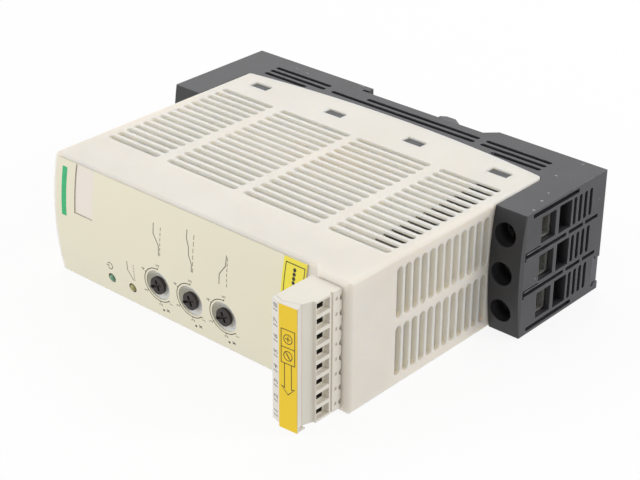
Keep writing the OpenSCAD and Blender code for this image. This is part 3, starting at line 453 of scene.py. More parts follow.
# %% What goes into the shader
class Finish(PlacedFinish):
    """Finish with colour, gloss and fine relief."""

    def paint(self, colour):
        self.link(colour, self.shader.inputs["Base Color"])

    def roughness(self, value, spread):
        self.link(self.scaled(value, *MOST_NOISE, self.rough - spread, self.rough + spread),
                  self.shader.inputs["Roughness"])

    def dents(self, value, depth_mm, strength, edge_mm=0.0):
        """Fine relief, over edges that are softened by a small round where edge_mm is above 0."""
        bump = self.add("Bump")
        bump.inputs["Strength"].default_value = strength
        bump.inputs["Distance"].default_value = depth_mm * MM
        if edge_mm:
            self.link(self.rounded(edge_mm), bump.inputs["Normal"])
        self.link(value, bump.inputs["Height"])
        self.link(bump.outputs[0], self.shader.inputs["Normal"])


print("finish helpers ready")

# %% [markdown]
# ## Moulded plastic
# The housing and most small pieces are moulded, and their moulds are spark eroded, which leaves a fine dull
# grain. A coarse noise shifts the colour a little, a fine one dents the surface and varies its gloss. Light
# goes a few millimetres into the pale housing, so its edges and slots stay bright.

# %% Moulded plastic
CLOUD_MM = 24.0
GRAIN_MM = 0.35
GRAIN_DEPTH = 0.012
GRAIN_STRENGTH = 0.6
GLOW_TINT = (1.0, 0.9, 0.75)


def moulded(name, colour, rough=0.5, gloss=0.4, cloud=0.025, edge=0.2, glow_mm=0.0, fields=()):
    """Grained plastic with softened edges. Fields are pairs of a mask and the painted light or shade that
    goes there.
    """
    f = Finish(name, colour, rough, gloss=gloss)
    if glow_mm:
        f.shader.inputs["Subsurface Weight"].default_value = 1.0
        f.shader.inputs["Subsurface Scale"].default_value = glow_mm * MM
        f.shader.inputs["Subsurface Radius"].default_value = GLOW_TINT
    tint = f.shades(f.noise(CLOUD_MM, detail=3.0), 1 - cloud, 1 + cloud, MID_NOISE)
    # The fields paint light and shade over the cloudy colour.
    for mask, other in fields:
        tint = f.blend(mask(f), tint, other)
    fine = f.noise(GRAIN_MM, detail=1.0)
    f.paint(f.speckled(tint, fine, share=0.08, k=0.7))
    f.roughness(fine, spread=0.06)
    f.dents(fine, GRAIN_DEPTH, GRAIN_STRENGTH, edge)
    return f.material


print("grain of moulded plastic in mm:", GRAIN_MM)

# %% [markdown]
# ## Places with painted light and shade
# On the housing and the plug a few places get painted light or shade: the walls of the slots are painted
# paler, as painted light for the glow of the thin plastic; their inner edges at the bottom end, where the
# wall is thinned from inside, are painted dark, as painted shade; the dishes round the dials are painted
# pale, as painted light, with painted shade on their upper side; and the wire holes of the plug are painted
# dark, as painted shade. They could be painted by hand. Here each is found by its distance from planes or an
# axis, so it stays right when the noise or the light changes. Each pair of numbers is where a tint starts to
# show and where it is full, in drawing millimetres.

# %% Places in the slots
BEHIND_FRONT = (-108, -104)
SIDE_WALLS_X, SIDE_WALLS_Z = (22.2, 21.5), (64.0, 62.5)
END_WALLS_X, END_WALLS_OUTER, END_WALLS_INNER = (21.4, 20.9), (64.9, 64.0), (60, 62)
THIN_X, THIN_FRONT, THIN_TOP, THIN_LOW = (21.5, 21.3), (-87.0, -86.0), (-50.8, -51.2), (-61.6, -61.2)


# Walls of the side slots: painted paler, as painted light for the glow of the thin plastic.
def side_slot_light_mask(f):
    return f.times(f.along("X", *SIDE_WALLS_X, middle=0), f.along("Z", *SIDE_WALLS_Z, middle=0),
                   f.along("Y", *BEHIND_FRONT))


# Walls of the end slots: painted a warmer, paler tone, as painted light.
def end_slot_light_mask(f):
    return f.times(f.along("Z", *END_WALLS_OUTER, middle=0), f.along("Z", *END_WALLS_INNER, middle=0),
                   f.along("X", *END_WALLS_X, middle=0), f.along("Y", *BEHIND_FRONT))


# Inner edges of the thinned slots at the bottom end: painted dark, as painted shade that widens the slits.
def thin_slot_shade_mask(f):
    return f.times(f.along("X", *THIN_X, middle=0), f.along("Z", *THIN_TOP), f.along("Z", *THIN_LOW),
                   f.along("Y", *THIN_FRONT))


print("slot walls are tinted from X mm:", SIDE_WALLS_X[0])

# %% Places round the dials and in the plug
DISH_RIM = (5.4, 5.2)
DISH_SIDES = (-0.5, 4.0)
HOLES_X, HOLES_FRONT, HOLES_BACK = (20.0, 19.7), (-123.6, -123.4), (-120.2, -120.4)
HOLES_LOW, HOLES_TOP = (-60.45, -60.2), (-54.0, -54.5)


# The dish round a dial, which is painted pale as painted light.
def in_dish(z):
    start, full = (r * MM for r in DISH_RIM)
    return lambda f: f.scaled(f.reach(DIAL_X, 0, z, flat=True), start, full)


# Upper side of the dish, which gets painted shade.
def dish_upper_side_shade_mask(z):
    low, high = (z + up for up in DISH_SIDES)
    return lambda f: f.times(in_dish(z)(f), f.along("Z", low, high))


# Walls of the plug's wire holes: painted dark, as painted shade.
def wire_hole_shade_mask(f):
    return f.times(f.along("X", *HOLES_X, middle=0), f.along("Y", *HOLES_FRONT), f.along("Y", *HOLES_BACK),
                   f.along("Z", *HOLES_LOW), f.along("Z", *HOLES_TOP))


print("dish radius in mm:", DISH_RIM[1])

# %% Plastics of the housing and the plug
BEIGE = linear(240, 232, 221)
SIDE_SLOT_PAINTED_LIGHT = linear(254, 246, 234)
END_SLOT_PAINTED_LIGHT = linear(244, 236, 222)
DIM_EDGE_PAINTED_SHADE = linear(52, 46, 40)
DISH_PAINTED_LIGHT = linear(240, 236, 226)
DISH_PAINTED_SHADE = linear(198, 192, 172)
HOLE_PAINTED_SHADE = linear(58, 52, 44)

housing_light_and_shade = [(side_slot_light_mask, SIDE_SLOT_PAINTED_LIGHT), (end_slot_light_mask, END_SLOT_PAINTED_LIGHT), (thin_slot_shade_mask, DIM_EDGE_PAINTED_SHADE)]
for dial_z in DIALS.values():
    housing_light_and_shade += [(in_dish(dial_z), DISH_PAINTED_LIGHT), (dish_upper_side_shade_mask(dial_z), DISH_PAINTED_SHADE)]
housing_plastic = moulded("housing_plastic", BEIGE, rough=0.5, gloss=0.35, edge=0.35, glow_mm=3.0,
                          fields=housing_light_and_shade)
plug_plastic = moulded("plug_plastic", linear(236, 230, 217), rough=0.45, fields=[(wire_hole_shade_mask, HOLE_PAINTED_SHADE)])
plate_plastic = moulded("plug_plate_plastic", linear(234, 229, 219), rough=0.42)
header_plastic = moulded("header_plastic", linear(216, 208, 190), rough=0.5)
marker_plastic = moulded("marker_plastic", linear(242, 233, 222), rough=0.4)
dial_plastic = moulded("dial_plastic", linear(50, 43, 43), rough=0.5, gloss=0.3, cloud=0.05)
latch_plastic = moulded("latch_plastic", linear(82, 82, 86), rough=0.46, cloud=0.05)
print("plastics:", [m.name for m in bpy.data.materials if "plastic" in m.name])

# %% [markdown]
# ## The scuffed base
# The base has had some handling: its edges are painted pale, partly as rubbed wear and partly as a painted
# highlight, and a few spots show on the dark grey. Spots from noise alone fall anywhere, so the noise is cut
# off high and four rubbed spots at the bottom end get a place of their own. Hardly any light gets into the
# wire entries and the cooling openings, so the grey is painted darker inwards from the outer faces, as
# painted shade, which keeps them deep in bright rooms too. The fronts of the terminal ends are painted darker
# as well, as painted shade.

# %% Places on the base
TERMINAL_FRONT, TERMINAL_X = (-44.2, -44.6), (22.0, 21.6)
INSIDE_X, INSIDE_Z = (21.6, 20.6), (76.6, 74.4)
INSIDE_FRONT, INSIDE_BACK = (-44.0, -41.5), (-5.0, -8.0)
SPOT_X = 22.0
SPOT_CORE = 0.3
# Y, Z and size of each rubbed spot on the right side.
RUBBED_SPOTS = [(-1.9, -68.7, 0.7), (-27.0, -72.7, 0.5), (-33.1, -74.3, 0.6), (-39.9, -76.1, 0.7)]


# Mask for the painted shade on the fronts of the terminal ends.
def terminal_fronts_shade_mask(f):
    return f.times(f.along("Y", *TERMINAL_FRONT), f.along("X", *TERMINAL_X, middle=0))


# Mask for the painted shade inside the base.
def inside_base_shade_mask(f):
    return f.times(f.along("X", *INSIDE_X, middle=0), f.along("Z", *INSIDE_Z, middle=0),
                   f.along("Y", *INSIDE_FRONT), f.along("Y", *INSIDE_BACK))


def on_spot(f, y, z, size):
    return f.scaled(f.reach(SPOT_X, y, z), size * MM, SPOT_CORE * size * MM)


print("rubbed spots:", len(RUBBED_SPOTS))

# %% Base plastic with rubbed edges and spots
BASE_GREY = linear(60, 60, 63)
RUBBED_AND_HIGHLIT = linear(132, 132, 136)
BARE_PALE = linear(180, 180, 182)
FRONT_PAINTED_SHADE = 0.58
INSIDE_PAINTED_SHADE = 0.36


def scuffed(name, colour):
    f = Finish(name, colour, rough=0.46, gloss=0.42)
    tint = f.shades(f.noise(14.0, detail=4.0, stretch=(1, 1.6, 1)), 0.86, 1.16, MID_NOISE)
    fine = f.noise(0.4, detail=1.0)
    grained = f.speckled(tint, fine, share=0.14, k=1.5)
    patches = f.scaled(f.noise(3.0, detail=3.0), *MID_NOISE, 0.3, 0.9)
    # Edges painted pale: partly rubbed wear, partly a painted highlight.
    worn_and_highlit = f.blend(f.times(f.edges(0.45), patches), grained, RUBBED_AND_HIGHLIT)
    # The fronts of the terminal ends are painted darker, as painted shade.
    fronts_painted_shade = f.blend(terminal_fronts_shade_mask(f), worn_and_highlit, shade(colour, FRONT_PAINTED_SHADE))
    # Inside the base the grey is painted darker, as painted shade.
    tone = f.blend(inside_base_shade_mask(f), fronts_painted_shade, shade(colour, INSIDE_PAINTED_SHADE))
    ragged = f.scaled(f.noise(0.7, detail=3.0, stretch=(1, 0.5, 1)), 0.46, 0.54)
    for y, z, size in RUBBED_SPOTS:
        tone = f.blend(f.times(on_spot(f, y, z, size), ragged), tone, BARE_PALE)
    rub = f.scaled(f.noise(4.0, detail=4.0, stretch=(1, 0.35, 2.2)), 0.735, 0.76)
    f.paint(f.blend(rub, tone, BARE_PALE))
    f.roughness(fine, spread=0.08)
    f.dents(fine, depth_mm=0.016, strength=0.6, edge_mm=0.3)
    return f.material


base_plastic = scuffed("base_plastic", BASE_GREY)
print("base finish:", base_plastic.name)

# %% [markdown]
# ## Films and labels
# The front carries a printed film with a fine matt skin. The two yellow labels are smoother. Film is thin,
# so besides its colour only gloss and grain tell it from the plastic below. A noise as fine as the skin
# sets both.

# %% Films and labels
SKIN_MM = 0.25


def film(name, colour, rough):
    f = Finish(name, colour, rough, gloss=0.45)
    tint = f.shades(f.noise(30.0, detail=2.0), 0.985, 1.015)
    skin = f.noise(SKIN_MM, detail=1.0)
    f.paint(f.speckled(tint, skin, share=0.05, k=0.8))
    f.roughness(skin, spread=0.05)
    f.dents(skin, depth_mm=0.005, strength=0.5)
    return f.material


front_film = film("film_cream", linear(238, 232, 207), rough=0.42)
label_yellow = film("label_yellow", linear(251, 212, 14), rough=0.38)
sticker_yellow = film("sticker_yellow", linear(246, 230, 62), rough=0.36)
print("films:", front_film.name, label_yellow.name, sticker_yellow.name)

# %% [markdown]
# ## Inks
# Print on such a film is pressed through a screen, so its tone is a little uneven. A blot noise gives that.
# Thin strokes look paler than broad ones, so fine drawings and numbers have greyer inks of their own.

# %% Inks
BLOT_MM = 0.6


def ink(name, colour):
    f = Finish(name, colour, rough=0.55, gloss=0.3)
    blot = f.noise(BLOT_MM, detail=2.0)
    f.paint(f.shades(blot, 0.85, 1.2))
    f.roughness(blot, spread=0.08)
    return f.material


ink_black = ink("ink_black", linear(58, 54, 46))
ink_grey = ink("ink_grey", linear(120, 116, 102))
ink_green = ink("ink_green", linear(60, 182, 120))
ink_way = ink("ink_way_grey", linear(142, 140, 134))
print("inks:", ink_black.name, ink_grey.name, ink_green.name, ink_way.name)

# %% [markdown]
# ## Metals
# The clamps are bent from plated steel strip, the screws are turned, the bars are tinned copper and the heat
# sink is drawn aluminium. Each has fine lines along the way it was worked, so the noise is stretched that
# way.

# %% Metals
ALONG_X, ALONG_Y, ALONG_Z = (12, 1, 1), (1, 12, 1), (1, 1, 12)
TURNED = (3, 1, 3)
EVEN = (1, 1, 1)


def worked_metal(name, colour, rough, stretch, lines_mm=0.3, stain=0.32, metallic=1.0):
    f = Finish(name, colour, rough, metallic=metallic)
    lines = f.noise(lines_mm, detail=2.0, stretch=stretch)
    stained = f.scaled(f.noise(5.0, detail=3.0), 0.5, 0.8, 0.0, stain)
    f.paint(f.blend(stained, f.shades(lines, 0.9, 1.06), shade(colour, 0.72)))
    f.roughness(lines, spread=0.08)
    f.dents(lines, depth_mm=0.006, strength=0.5)
    return f.material


plated_steel = worked_metal("plated_steel", linear(186, 185, 180), 0.3, ALONG_X, lines_mm=0.12, stain=0.16,
                            metallic=0.75)
zinc_screw = worked_metal("zinc_screw", linear(190, 190, 186), 0.38, TURNED)
# The clamp screws are painted dark, as painted shade in their driver holes.
clamp_screw_painted_shade = worked_metal("clamp_screw_painted_shade", linear(70, 68, 66), 0.42, TURNED)
# The plug's cages are painted dark, as painted shade in the wire holes.
cage_painted_shade = worked_metal("cage_painted_shade", linear(88, 84, 74), 0.4, ALONG_X)
tin_pin = worked_metal("tin_pin", linear(206, 203, 194), 0.3, ALONG_Y)
tinned_bar = worked_metal("tinned_bar", linear(204, 202, 194), 0.36, ALONG_Z, stain=0.56)
drawn_aluminium = worked_metal("drawn_aluminium", linear(202, 204, 207), 0.4, ALONG_Z)
spring_wire = worked_metal("spring_wire", linear(180, 180, 176), 0.3, EVEN, lines_mm=0.2)
print("metals:", [m.name for m in (plated_steel, zinc_screw, tin_pin, tinned_bar, drawn_aluminium)])

# %% [markdown]
# ## Circuit boards and what sits on them
# They can be glimpsed through the slots. A board is green lacquer over copper, painted very dark as painted
# shade inside the housing: thin brick lines stand for the tracks and small cells for the soldered points.
# Relays, trimmers and the chip are plain mouldings, the transformer is wound and taped, and the capacitors
# wear shrunk sleeves.

# %% Boards and their parts
TRACKS_PER_M = 180.0
TRACK_WIDTH = 0.06
POINTS_PER_M = 260.0
POINT_RIM = (0.16, 0.2)


def lacquered_board(name):
    # The green is painted very dark, as painted shade inside the housing.
    green = linear(18, 40, 28)
    f = Finish(name, green, rough=0.34)
    bricks = f.add("TexBrick")
    scale = f.add("Mapping")
    scale.inputs["Scale"].default_value = (TRACKS_PER_M, TRACKS_PER_M, TRACKS_PER_M)
    turned = f.add("SeparateXYZ")
    flat = f.add("CombineXYZ")
    f.link(f.place, turned.inputs[0])
    f.link(turned.outputs["X"], flat.inputs["X"])
    f.link(turned.outputs["Z"], flat.inputs["Y"])
    f.link(flat.outputs[0], scale.inputs["Vector"])
    f.link(scale.outputs[0], bricks.inputs["Vector"])
    bricks.inputs["Color1"].default_value = green
    bricks.inputs["Color2"].default_value = shade(green, 0.9)
    bricks.inputs["Mortar"].default_value = linear(30, 62, 42)
    bricks.inputs["Mortar Size"].default_value = TRACK_WIDTH
    bricks.inputs["Scale"].default_value = 1.0
    cells = f.add("TexVoronoi")
    cells.inputs["Scale"].default_value = POINTS_PER_M
    f.link(f.place, cells.inputs["Vector"])
    points = f.scaled(cells.outputs["Distance"], *POINT_RIM, 1.0, 0.0)
    f.paint(f.blend(points, bricks.outputs["Color"], linear(190, 190, 182)))
    f.roughness(f.noise(3.0), spread=0.06)
    return f.material


def wound_coil(name):
    f = Finish(name, linear(196, 164, 74), rough=0.36)
    turns = f.noise(0.8, detail=1.0, stretch=(20, 20, 1))
    f.paint(f.shades(turns, 0.7, 1.1))
    f.roughness(turns, spread=0.08)
    f.dents(turns, depth_mm=0.08, strength=0.7)
    return f.material


board = lacquered_board("board_painted_dark")
coil = wound_coil("coil_tape")
trimmer_plastic = moulded("trimmer_plastic", linear(62, 92, 140), rough=0.4)
relay_black = moulded("relay_black", linear(44, 44, 48), rough=0.42)
relay_ivory = moulded("relay_ivory", linear(216, 212, 200), rough=0.44)
sleeve_dark = moulded("sleeve_dark", linear(44, 50, 60), rough=0.25, gloss=0.5)
module_black = moulded("module_black", linear(52, 52, 56), rough=0.5)
print("boards and parts:", board.name, coil.name)

# %% [markdown]
# ## Lamps
# Each lamp is a tinted lens, unlit here. Its rim is painted darker and its middle lighter, as painted shade
# and painted light, because one looks through more of the tinted plastic at the rim. The distance from the
# axis of the lens gives that.

# %% Lamp lenses
LENS_R = 1.5


def lens(name, colour, z):
    f = Finish(name, colour, rough=0.16)
    outward = f.scaled(f.reach(LAMP_X, 0, z, flat=True), 0.0, LENS_R * MM)
    # Painted light in the middle of the lens and painted shade at its rim.
    f.paint(f.ramp(outward, [(0.0, shade(colour, 1.25)), (0.55, colour), (1.0, shade(colour, 0.35))]))
    f.roughness(f.noise(0.8), spread=0.05)
    f.shader.inputs["Coat Weight"].default_value = 0.6
    f.shader.inputs["Coat Roughness"].default_value = 0.08
    return f.material


green_lens = lens("green_lens", linear(74, 140, 100), LAMPS["power"])
amber_lens = lens("amber_lens", linear(150, 142, 66), LAMPS["run"])
print("lenses:", green_lens.name, amber_lens.name)

# %% [markdown]
# ## Dressing the solids
# Each solid comes with a plain colour. One list says which finish goes on which solids. It could be spread
# over the cells above, but in one place a forgotten solid shows at once.

# %% Give every solid its finish
finishes = {
    housing_plastic: ["front_housing"],
    base_plastic: ["base_housing"],
    latch_plastic: ["rail_latch"],
    front_film: ["front_film"],
    marker_plastic: ["marker_plate"],
    sticker_yellow: ["front_sticker"],
    label_yellow: ["plug_label"],
    plug_plastic: ["plug_body"],
    plate_plastic: ["plug_plate"],
    header_plastic: ["plug_header"],
    green_lens: ["power_lamp"],
    amber_lens: ["run_lamp"],
    dial_plastic: ["start_dial", "voltage_dial", "stop_dial"],
    trimmer_plastic: ["start_trimmer", "voltage_trimmer", "stop_trimmer"],
    board: ["control_board", "power_board", "link_board"],
    relay_black: ["controller_chip", "output_relay"],
    relay_ivory: ["bypass_relay_left", "bypass_relay_right"],
    module_black: ["upper_thyristor", "lower_thyristor"],
    coil: ["supply_transformer"],
    sleeve_dark: ["capacitors"],
    drawn_aluminium: ["heat_sink"],
    tinned_bar: ["line_busbars", "load_busbars"],
    plated_steel: ["power_clamps"],
    cage_painted_shade: ["plug_cages"],
    zinc_screw: ["module_screws", "plug_screws"],
    clamp_screw_painted_shade: ["clamp_screws"],
    tin_pin: ["header_pins"],
    spring_wire: ["latch_spring"],
}
for material, names in finishes.items():
    for name in names:
        nodes[name].data.materials.clear()
        nodes[name].data.materials.append(material)
print("solids with a finish:", sum(len(v) for v in finishes.values()), "of", len(nodes))

# %% [markdown]
# ## Latch spring
# The latch slides against a small wire spring, the one piece that changes its length. The loaded solid has
# eight flat sides, and it stays long when the latch goes down. A coil of round wire takes its place: rings
# of points along a screw line, joined by faces. The first and last turn lie close, as on a cut spring. It
# rides on the starter body.

# %% Screw line of the spring
SPRING_TURNS = 9
SPRING_WIRE = 0.5 * MM
TURN_STEPS = 24
CLOSE_PITCH = 1.1 * SPRING_WIRE


def screw_line(low, high):
    """Points of the middle of the wire, from the lower end to the upper end, and the middle of the coil."""
    middle = (low + high) / 2
    radius = (high.x - low.x - SPRING_WIRE) / 2
    rise = high.z - low.z - SPRING_WIRE
    open_turns = SPRING_TURNS - 2
    pitch = (rise - 2 * CLOSE_PITCH) / open_turns
    points = []
    for i in range(SPRING_TURNS * TURN_STEPS + 1):
        turns = i / TURN_STEPS
        close_part = min(turns, 1) + max(turns - SPRING_TURNS + 1, 0)
        open_part = min(max(turns - 1, 0), open_turns)
        climb = close_part * CLOSE_PITCH + open_part * pitch
        angle = 2 * math.pi * turns
        points.append(Vector((middle.x + radius * math.cos(angle), middle.y + radius * math.sin(angle),
                              low.z + SPRING_WIRE / 2 + climb)))
    return points, middle


spring_low, spring_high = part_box("latch_spring")
spring_line, spring_middle = screw_line(spring_low, spring_high)

# %% Round wire along the screw line
WIRE_SIDES = 10


def round_wire(name, points, middle):
    bm = bmesh.new()
    rings = []
    for i, p in enumerate(points):
        way = (points[min(i + 1, len(points) - 1)] - points[max(i - 1, 0)]).normalized()
        outward = Vector((p.x - middle.x, p.y - middle.y, 0)).normalized()
        across = way.cross(outward).normalized()
        ring = []
        for k in range(WIRE_SIDES):
            t = 2 * math.pi * k / WIRE_SIDES
            ring.append(bm.verts.new(p + (outward * math.cos(t) + across * math.sin(t)) * SPRING_WIRE / 2))
        rings.append(ring)
    for a, b in zip(rings, rings[1:]):
        for k in range(WIRE_SIDES):
            bm.faces.new((a[k], a[k - 1], b[k - 1], b[k])).smooth = True
    bm.faces.new(rings[0])
    bm.faces.new(rings[-1])
    bmesh.ops.recalc_face_normals(bm, faces=bm.faces)
    mesh = bpy.data.meshes.new(name)
    bm.to_mesh(mesh)
    bm.free()
    mesh.materials.append(spring_wire)
    piece = bpy.data.objects.new(name, mesh)
    scene.collection.objects.link(piece)
    return piece


spring = round_wire("latch_coil", spring_line, spring_middle)
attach(spring, "starter")
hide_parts("latch_spring")
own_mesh(spring)
print("faces of the spring:", len(spring.data.polygons))

# %% [markdown]
# ## Print on the front
# Print is ink a few hundredths of a millimetre thick. It could be drawn in the finish of the film, but
# shapes keep sharp edges at any distance and stay on the model when it is used elsewhere. Each drawing is
# made flat, in millimetres across and up, raised by the thickness of the ink and then laid on its surface.

# %% Flat shapes
class FlatShapes:
    """Flat shapes, gathered in one mesh."""

    def __init__(self):
        self.bm = bmesh.new()

    def area(self, outline):
        self.bm.faces.new([self.bm.verts.new((u, v, 0)) for u, v in outline])

    def field(self, u0, u1, v0, v1, columns):
        """Rectangle in columns, so that it can follow a curve."""
        lower = [self.bm.verts.new((u0 + (u1 - u0) * i / columns, v0, 0)) for i in range(columns + 1)]
        upper = [self.bm.verts.new((v.co.x, v1, 0)) for v in lower]
        for i in range(columns):
            self.bm.faces.new((lower[i], lower[i + 1], upper[i + 1], upper[i]))

    def line(self, points, width, closed=False):
        """Ribbon of even width along a row of points."""
        row = [Vector(p) for p in points]
        n = len(row)
        left, right = [], []
        for i, p in enumerate(row):
            before = row[i - 1] if i or closed else None
            after = row[(i + 1) % n] if i < n - 1 or closed else None
            ways = [(b - a).normalized() for a, b in ((before, p), (p, after)) if a and b]
            way = sum(ways, Vector((0, 0))).normalized()
            half = width / 2 / max(0.4, way.dot(ways[0]))
            side = Vector((-way.y, way.x)) * half
            left.append(self.bm.verts.new((p.x + side.x, p.y + side.y, 0)))
            right.append(self.bm.verts.new((p.x - side.x, p.y - side.y, 0)))
        for i in range(n if closed else n - 1):
            j = (i + 1) % n
            self.bm.faces.new((right[i], right[j], left[j], left[i]))


print("flat shapes: area, field and line")


# %% Round shapes
def round_points(u, v, r, turns):
    """Points round (u, v); turns in radians, clockwise from straight up."""
    return [(u + r * math.sin(t), v + r * math.cos(t)) for t in turns]


def full_turn(steps):
    return [2 * math.pi * i / steps for i in range(steps)]


class RoundShapes(FlatShapes):
    """Arcs, rings and dots."""

    def arc(self, u, v, r, start, end, width, steps=40):
        """Arc round (u, v); angles in degrees, clockwise from straight up."""
        turns = [math.radians(start + (end - start) * i / steps) for i in range(steps + 1)]
        self.line(round_points(u, v, r, turns), width)

    def ring(self, u, v, r, width, steps=28):
        self.line(round_points(u, v, r, full_turn(steps)), width, closed=True)

    def dot(self, u, v, r, steps=14):
        self.area([(u + r * math.cos(t), v + r * math.sin(t)) for t in full_turn(steps)])


print("round shapes: arc, ring and dot")

# %% Digits, and laying a drawing on a surface
INK_T = 0.03
SIZE_PER_DIGIT = 1.4


class Drawing(RoundShapes):
    """Flat drawing that is laid on a surface."""

    def number(self, digits, u, v, height, bold=0.0):
        """Digits of the built-in typeface, centred on a point, thickened by bold on each side."""
        curve = bpy.data.curves.new("digits", "FONT")
        curve.body = digits
        curve.size = height * SIZE_PER_DIGIT
        curve.offset = bold
        curve.align_x = "CENTER"
        curve.align_y = "CENTER"
        curve.resolution_u = 3
        holder = bpy.data.objects.new("digits", curve)
        scene.collection.objects.link(holder)
        graph = bpy.context.evaluated_depsgraph_get()
        mesh = bpy.data.meshes.new_from_object(holder.evaluated_get(graph))
        places = [self.bm.verts.new((p.co.x + u, p.co.y + v, 0)) for p in mesh.vertices]
        for face in mesh.polygons:
            self.bm.faces.new([places[i] for i in face.vertices])
        bpy.data.objects.remove(holder)
        bpy.data.curves.remove(curve)
        bpy.data.meshes.remove(mesh)

    def lay(self, name, surface, lift, material, body):
        """Thickens the drawing, lays it on its surface and makes it a piece that rides on a body."""
        bm = self.bm
        bmesh.ops.recalc_face_normals(bm, faces=bm.faces)
        raised = bmesh.ops.extrude_face_region(bm, geom=bm.faces[:])
        for part in raised["geom"]:
            if isinstance(part, bmesh.types.BMVert):
                part.co.z = INK_T
        for vert in bm.verts:
            vert.co = surface(vert.co.x, vert.co.y, lift + vert.co.z)
        bmesh.ops.recalc_face_normals(bm, faces=bm.faces)
        mesh = bpy.data.meshes.new(name)
        bm.to_mesh(mesh)
        bm.free()
        mesh.materials.append(material)
        piece = bpy.data.objects.new(name, mesh)
        scene.collection.objects.link(piece)
        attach(piece, body)


print("ink thickness in mm:", INK_T)

# %% [markdown]
# ## Dial scales
# Each dial turns over about 230 degrees. A thin arc round its pocket shows the way, with five marks and a
# number beside each mark. The arc could be a thin ring cut open, but a row of points made into a ribbon of
# even width also serves for the marks and for all the drawings that follow.

# %% Dial scales
SCALE_R = 6.1
SCALE_STEPS = [-134, -90, -35, 31, 94]
SCALE_W = 0.28
MARK_IN, MARK_OUT = SCALE_R - 0.1, SCALE_R + 0.55
NUMBER_R = 7.5
NUMBER_H = 1.5

scales = Drawing()
numbers = Drawing()
for z in DIALS.values():
    scales.arc(DIAL_X, z, SCALE_R, SCALE_STEPS[0], SCALE_STEPS[-1], SCALE_W)
    for i, angle in enumerate(SCALE_STEPS):
        inner, outer, beside = (round_points(DIAL_X, z, r, [math.radians(angle)])[0]
                                for r in (MARK_IN, MARK_OUT, NUMBER_R))
        scales.line([inner, outer], SCALE_W)
        numbers.number(str(i + 1), *beside, NUMBER_H)
scales.lay("dial_scales", on_bow, FILM_TOP, ink_black, "starter")
numbers.lay("dial_numbers", on_bow, FILM_TOP, ink_grey, "starter")
print("dial scales:", len(DIALS), "with", len(SCALE_STEPS), "marks each")

# %% [markdown]
# ## Pictures instead of words
# Beside each dial stands what it sets. Small line drawings say it without words: a ramp that rises, a step
# up to a first level, and a ramp that falls. Beside the lamps stand a power sign and a full ramp. To the left
# of each dial stand a dot and a small cross.

# %% Line drawings beside dials and lamps
SIGN_W = 0.32
LEVEL_DOWN = 1.2
BASE_DOWN = 1.75
DASHES = 6
POWER_X, POWER_R, POWER_GAP = -10.2, 1.2, 35
# Place of the sign: left end, Z, length, and heights at even steps.
RAMP_SIGNS = [
    (2.6, DIALS["start"], 10.5, [0, 0.1, 2.6, 2.7]),
    (2.2, DIALS["voltage"], 13.5, [0, 0, 1.3, 1.5, 2.6, 2.6]),
    (2.6, DIALS["stop"], 10.5, [2.7, 2.6, 0.1, 0]),
    (-11.6, LAMPS["run"], 6.5, [0, 2.4, 2.4]),
]


def ramp_sign(drawing, u, z, length, heights):
    """Level line over a dashed base line."""
    step = length / (len(heights) - 1)
    drawing.line([(u + i * step, z - LEVEL_DOWN + h) for i, h in enumerate(heights)], SIGN_W)
    for i in range(DASHES):
        start = u + length * i / DASHES
        end = start + length / DASHES * 2 / 3
        drawing.line([(start, z - BASE_DOWN), (end, z - BASE_DOWN)], SIGN_W * 0.7)


def power_sign(drawing, u, z):
    drawing.arc(u, z, POWER_R, POWER_GAP, 360 - POWER_GAP, SIGN_W)
    drawing.line([(u, z + 0.2), (u, z + POWER_R + 0.5)], SIGN_W)


signs = Drawing()
for ramp in RAMP_SIGNS:
    ramp_sign(signs, *ramp)
power_sign(signs, POWER_X, LAMPS["power"])
signs.lay("front_signs", on_bow, FILM_TOP, ink_grey, "starter")
print("line drawings:", len(RAMP_SIGNS) + 1)

# %% Marks beside the dials
DOT_X, DOT_DOWN, DOT_R = DIAL_X - 9.4, 0.9, 0.45
CROSS_LEFT, CROSS_RIGHT = DIAL_X - 9.3, DIAL_X - 8.4
CROSS_HIGH, CROSS_LOW = 2.4, 3.6
CROSS_W = 0.3

small_marks = Drawing()
for z in DIALS.values():
    small_marks.dot(DOT_X, z - DOT_DOWN, DOT_R)
    small_marks.line([(CROSS_LEFT, z - CROSS_HIGH), (CROSS_RIGHT, z - CROSS_LOW)], CROSS_W)
    small_marks.line([(CROSS_RIGHT, z - CROSS_HIGH), (CROSS_LEFT, z - CROSS_LOW)], CROSS_W)
small_marks.lay("dial_end_marks", on_bow, FILM_TOP, ink_black, "starter")
print("marks beside the dials:", 2 * len(DIALS))

# %% [markdown]
# ## Green stripe
# A plain green stripe closes the film at its top. It is one field of ink. A single face would cut through
# the bow, so it is made in columns that follow it.

# %% Green stripe
STRIPE_LEFT, STRIPE_RIGHT, STRIPE_LOW, STRIPE_HIGH = 1.5, 18.7, 58.6, 60.9
STRIPE_COLUMNS = 12

stripe = Drawing()
stripe.field(STRIPE_LEFT, STRIPE_RIGHT, STRIPE_LOW, STRIPE_HIGH, STRIPE_COLUMNS)
stripe.lay("green_stripe", on_bow, FILM_TOP, ink_green, "starter")
print("green stripe length in mm:", round(STRIPE_RIGHT - STRIPE_LEFT, 1))

# %% [markdown]
# ## Print on the yellow labels
# The sticker on the front has a thin frame and a row of dots. The label of the plug shows two screw heads,
# one slotted and one crossed, in two boxes, and an arrow that says which way the plate comes off. Both are
# drawn flat as before. The label of the plug leans a little, so its surface function goes along that slope.

# %% Sticker print
FRAME_LEFT, FRAME_RIGHT, FRAME_LOW, FRAME_HIGH = 0.5, 19.7, -46.4, -39.0
FRAME_W = 0.28
DOTS, DOTS_RIGHT, DOTS_Z = 8, 18.1, -42.6
STICKER_DOT_STEP, STICKER_DOT_R = 1.35, 0.62


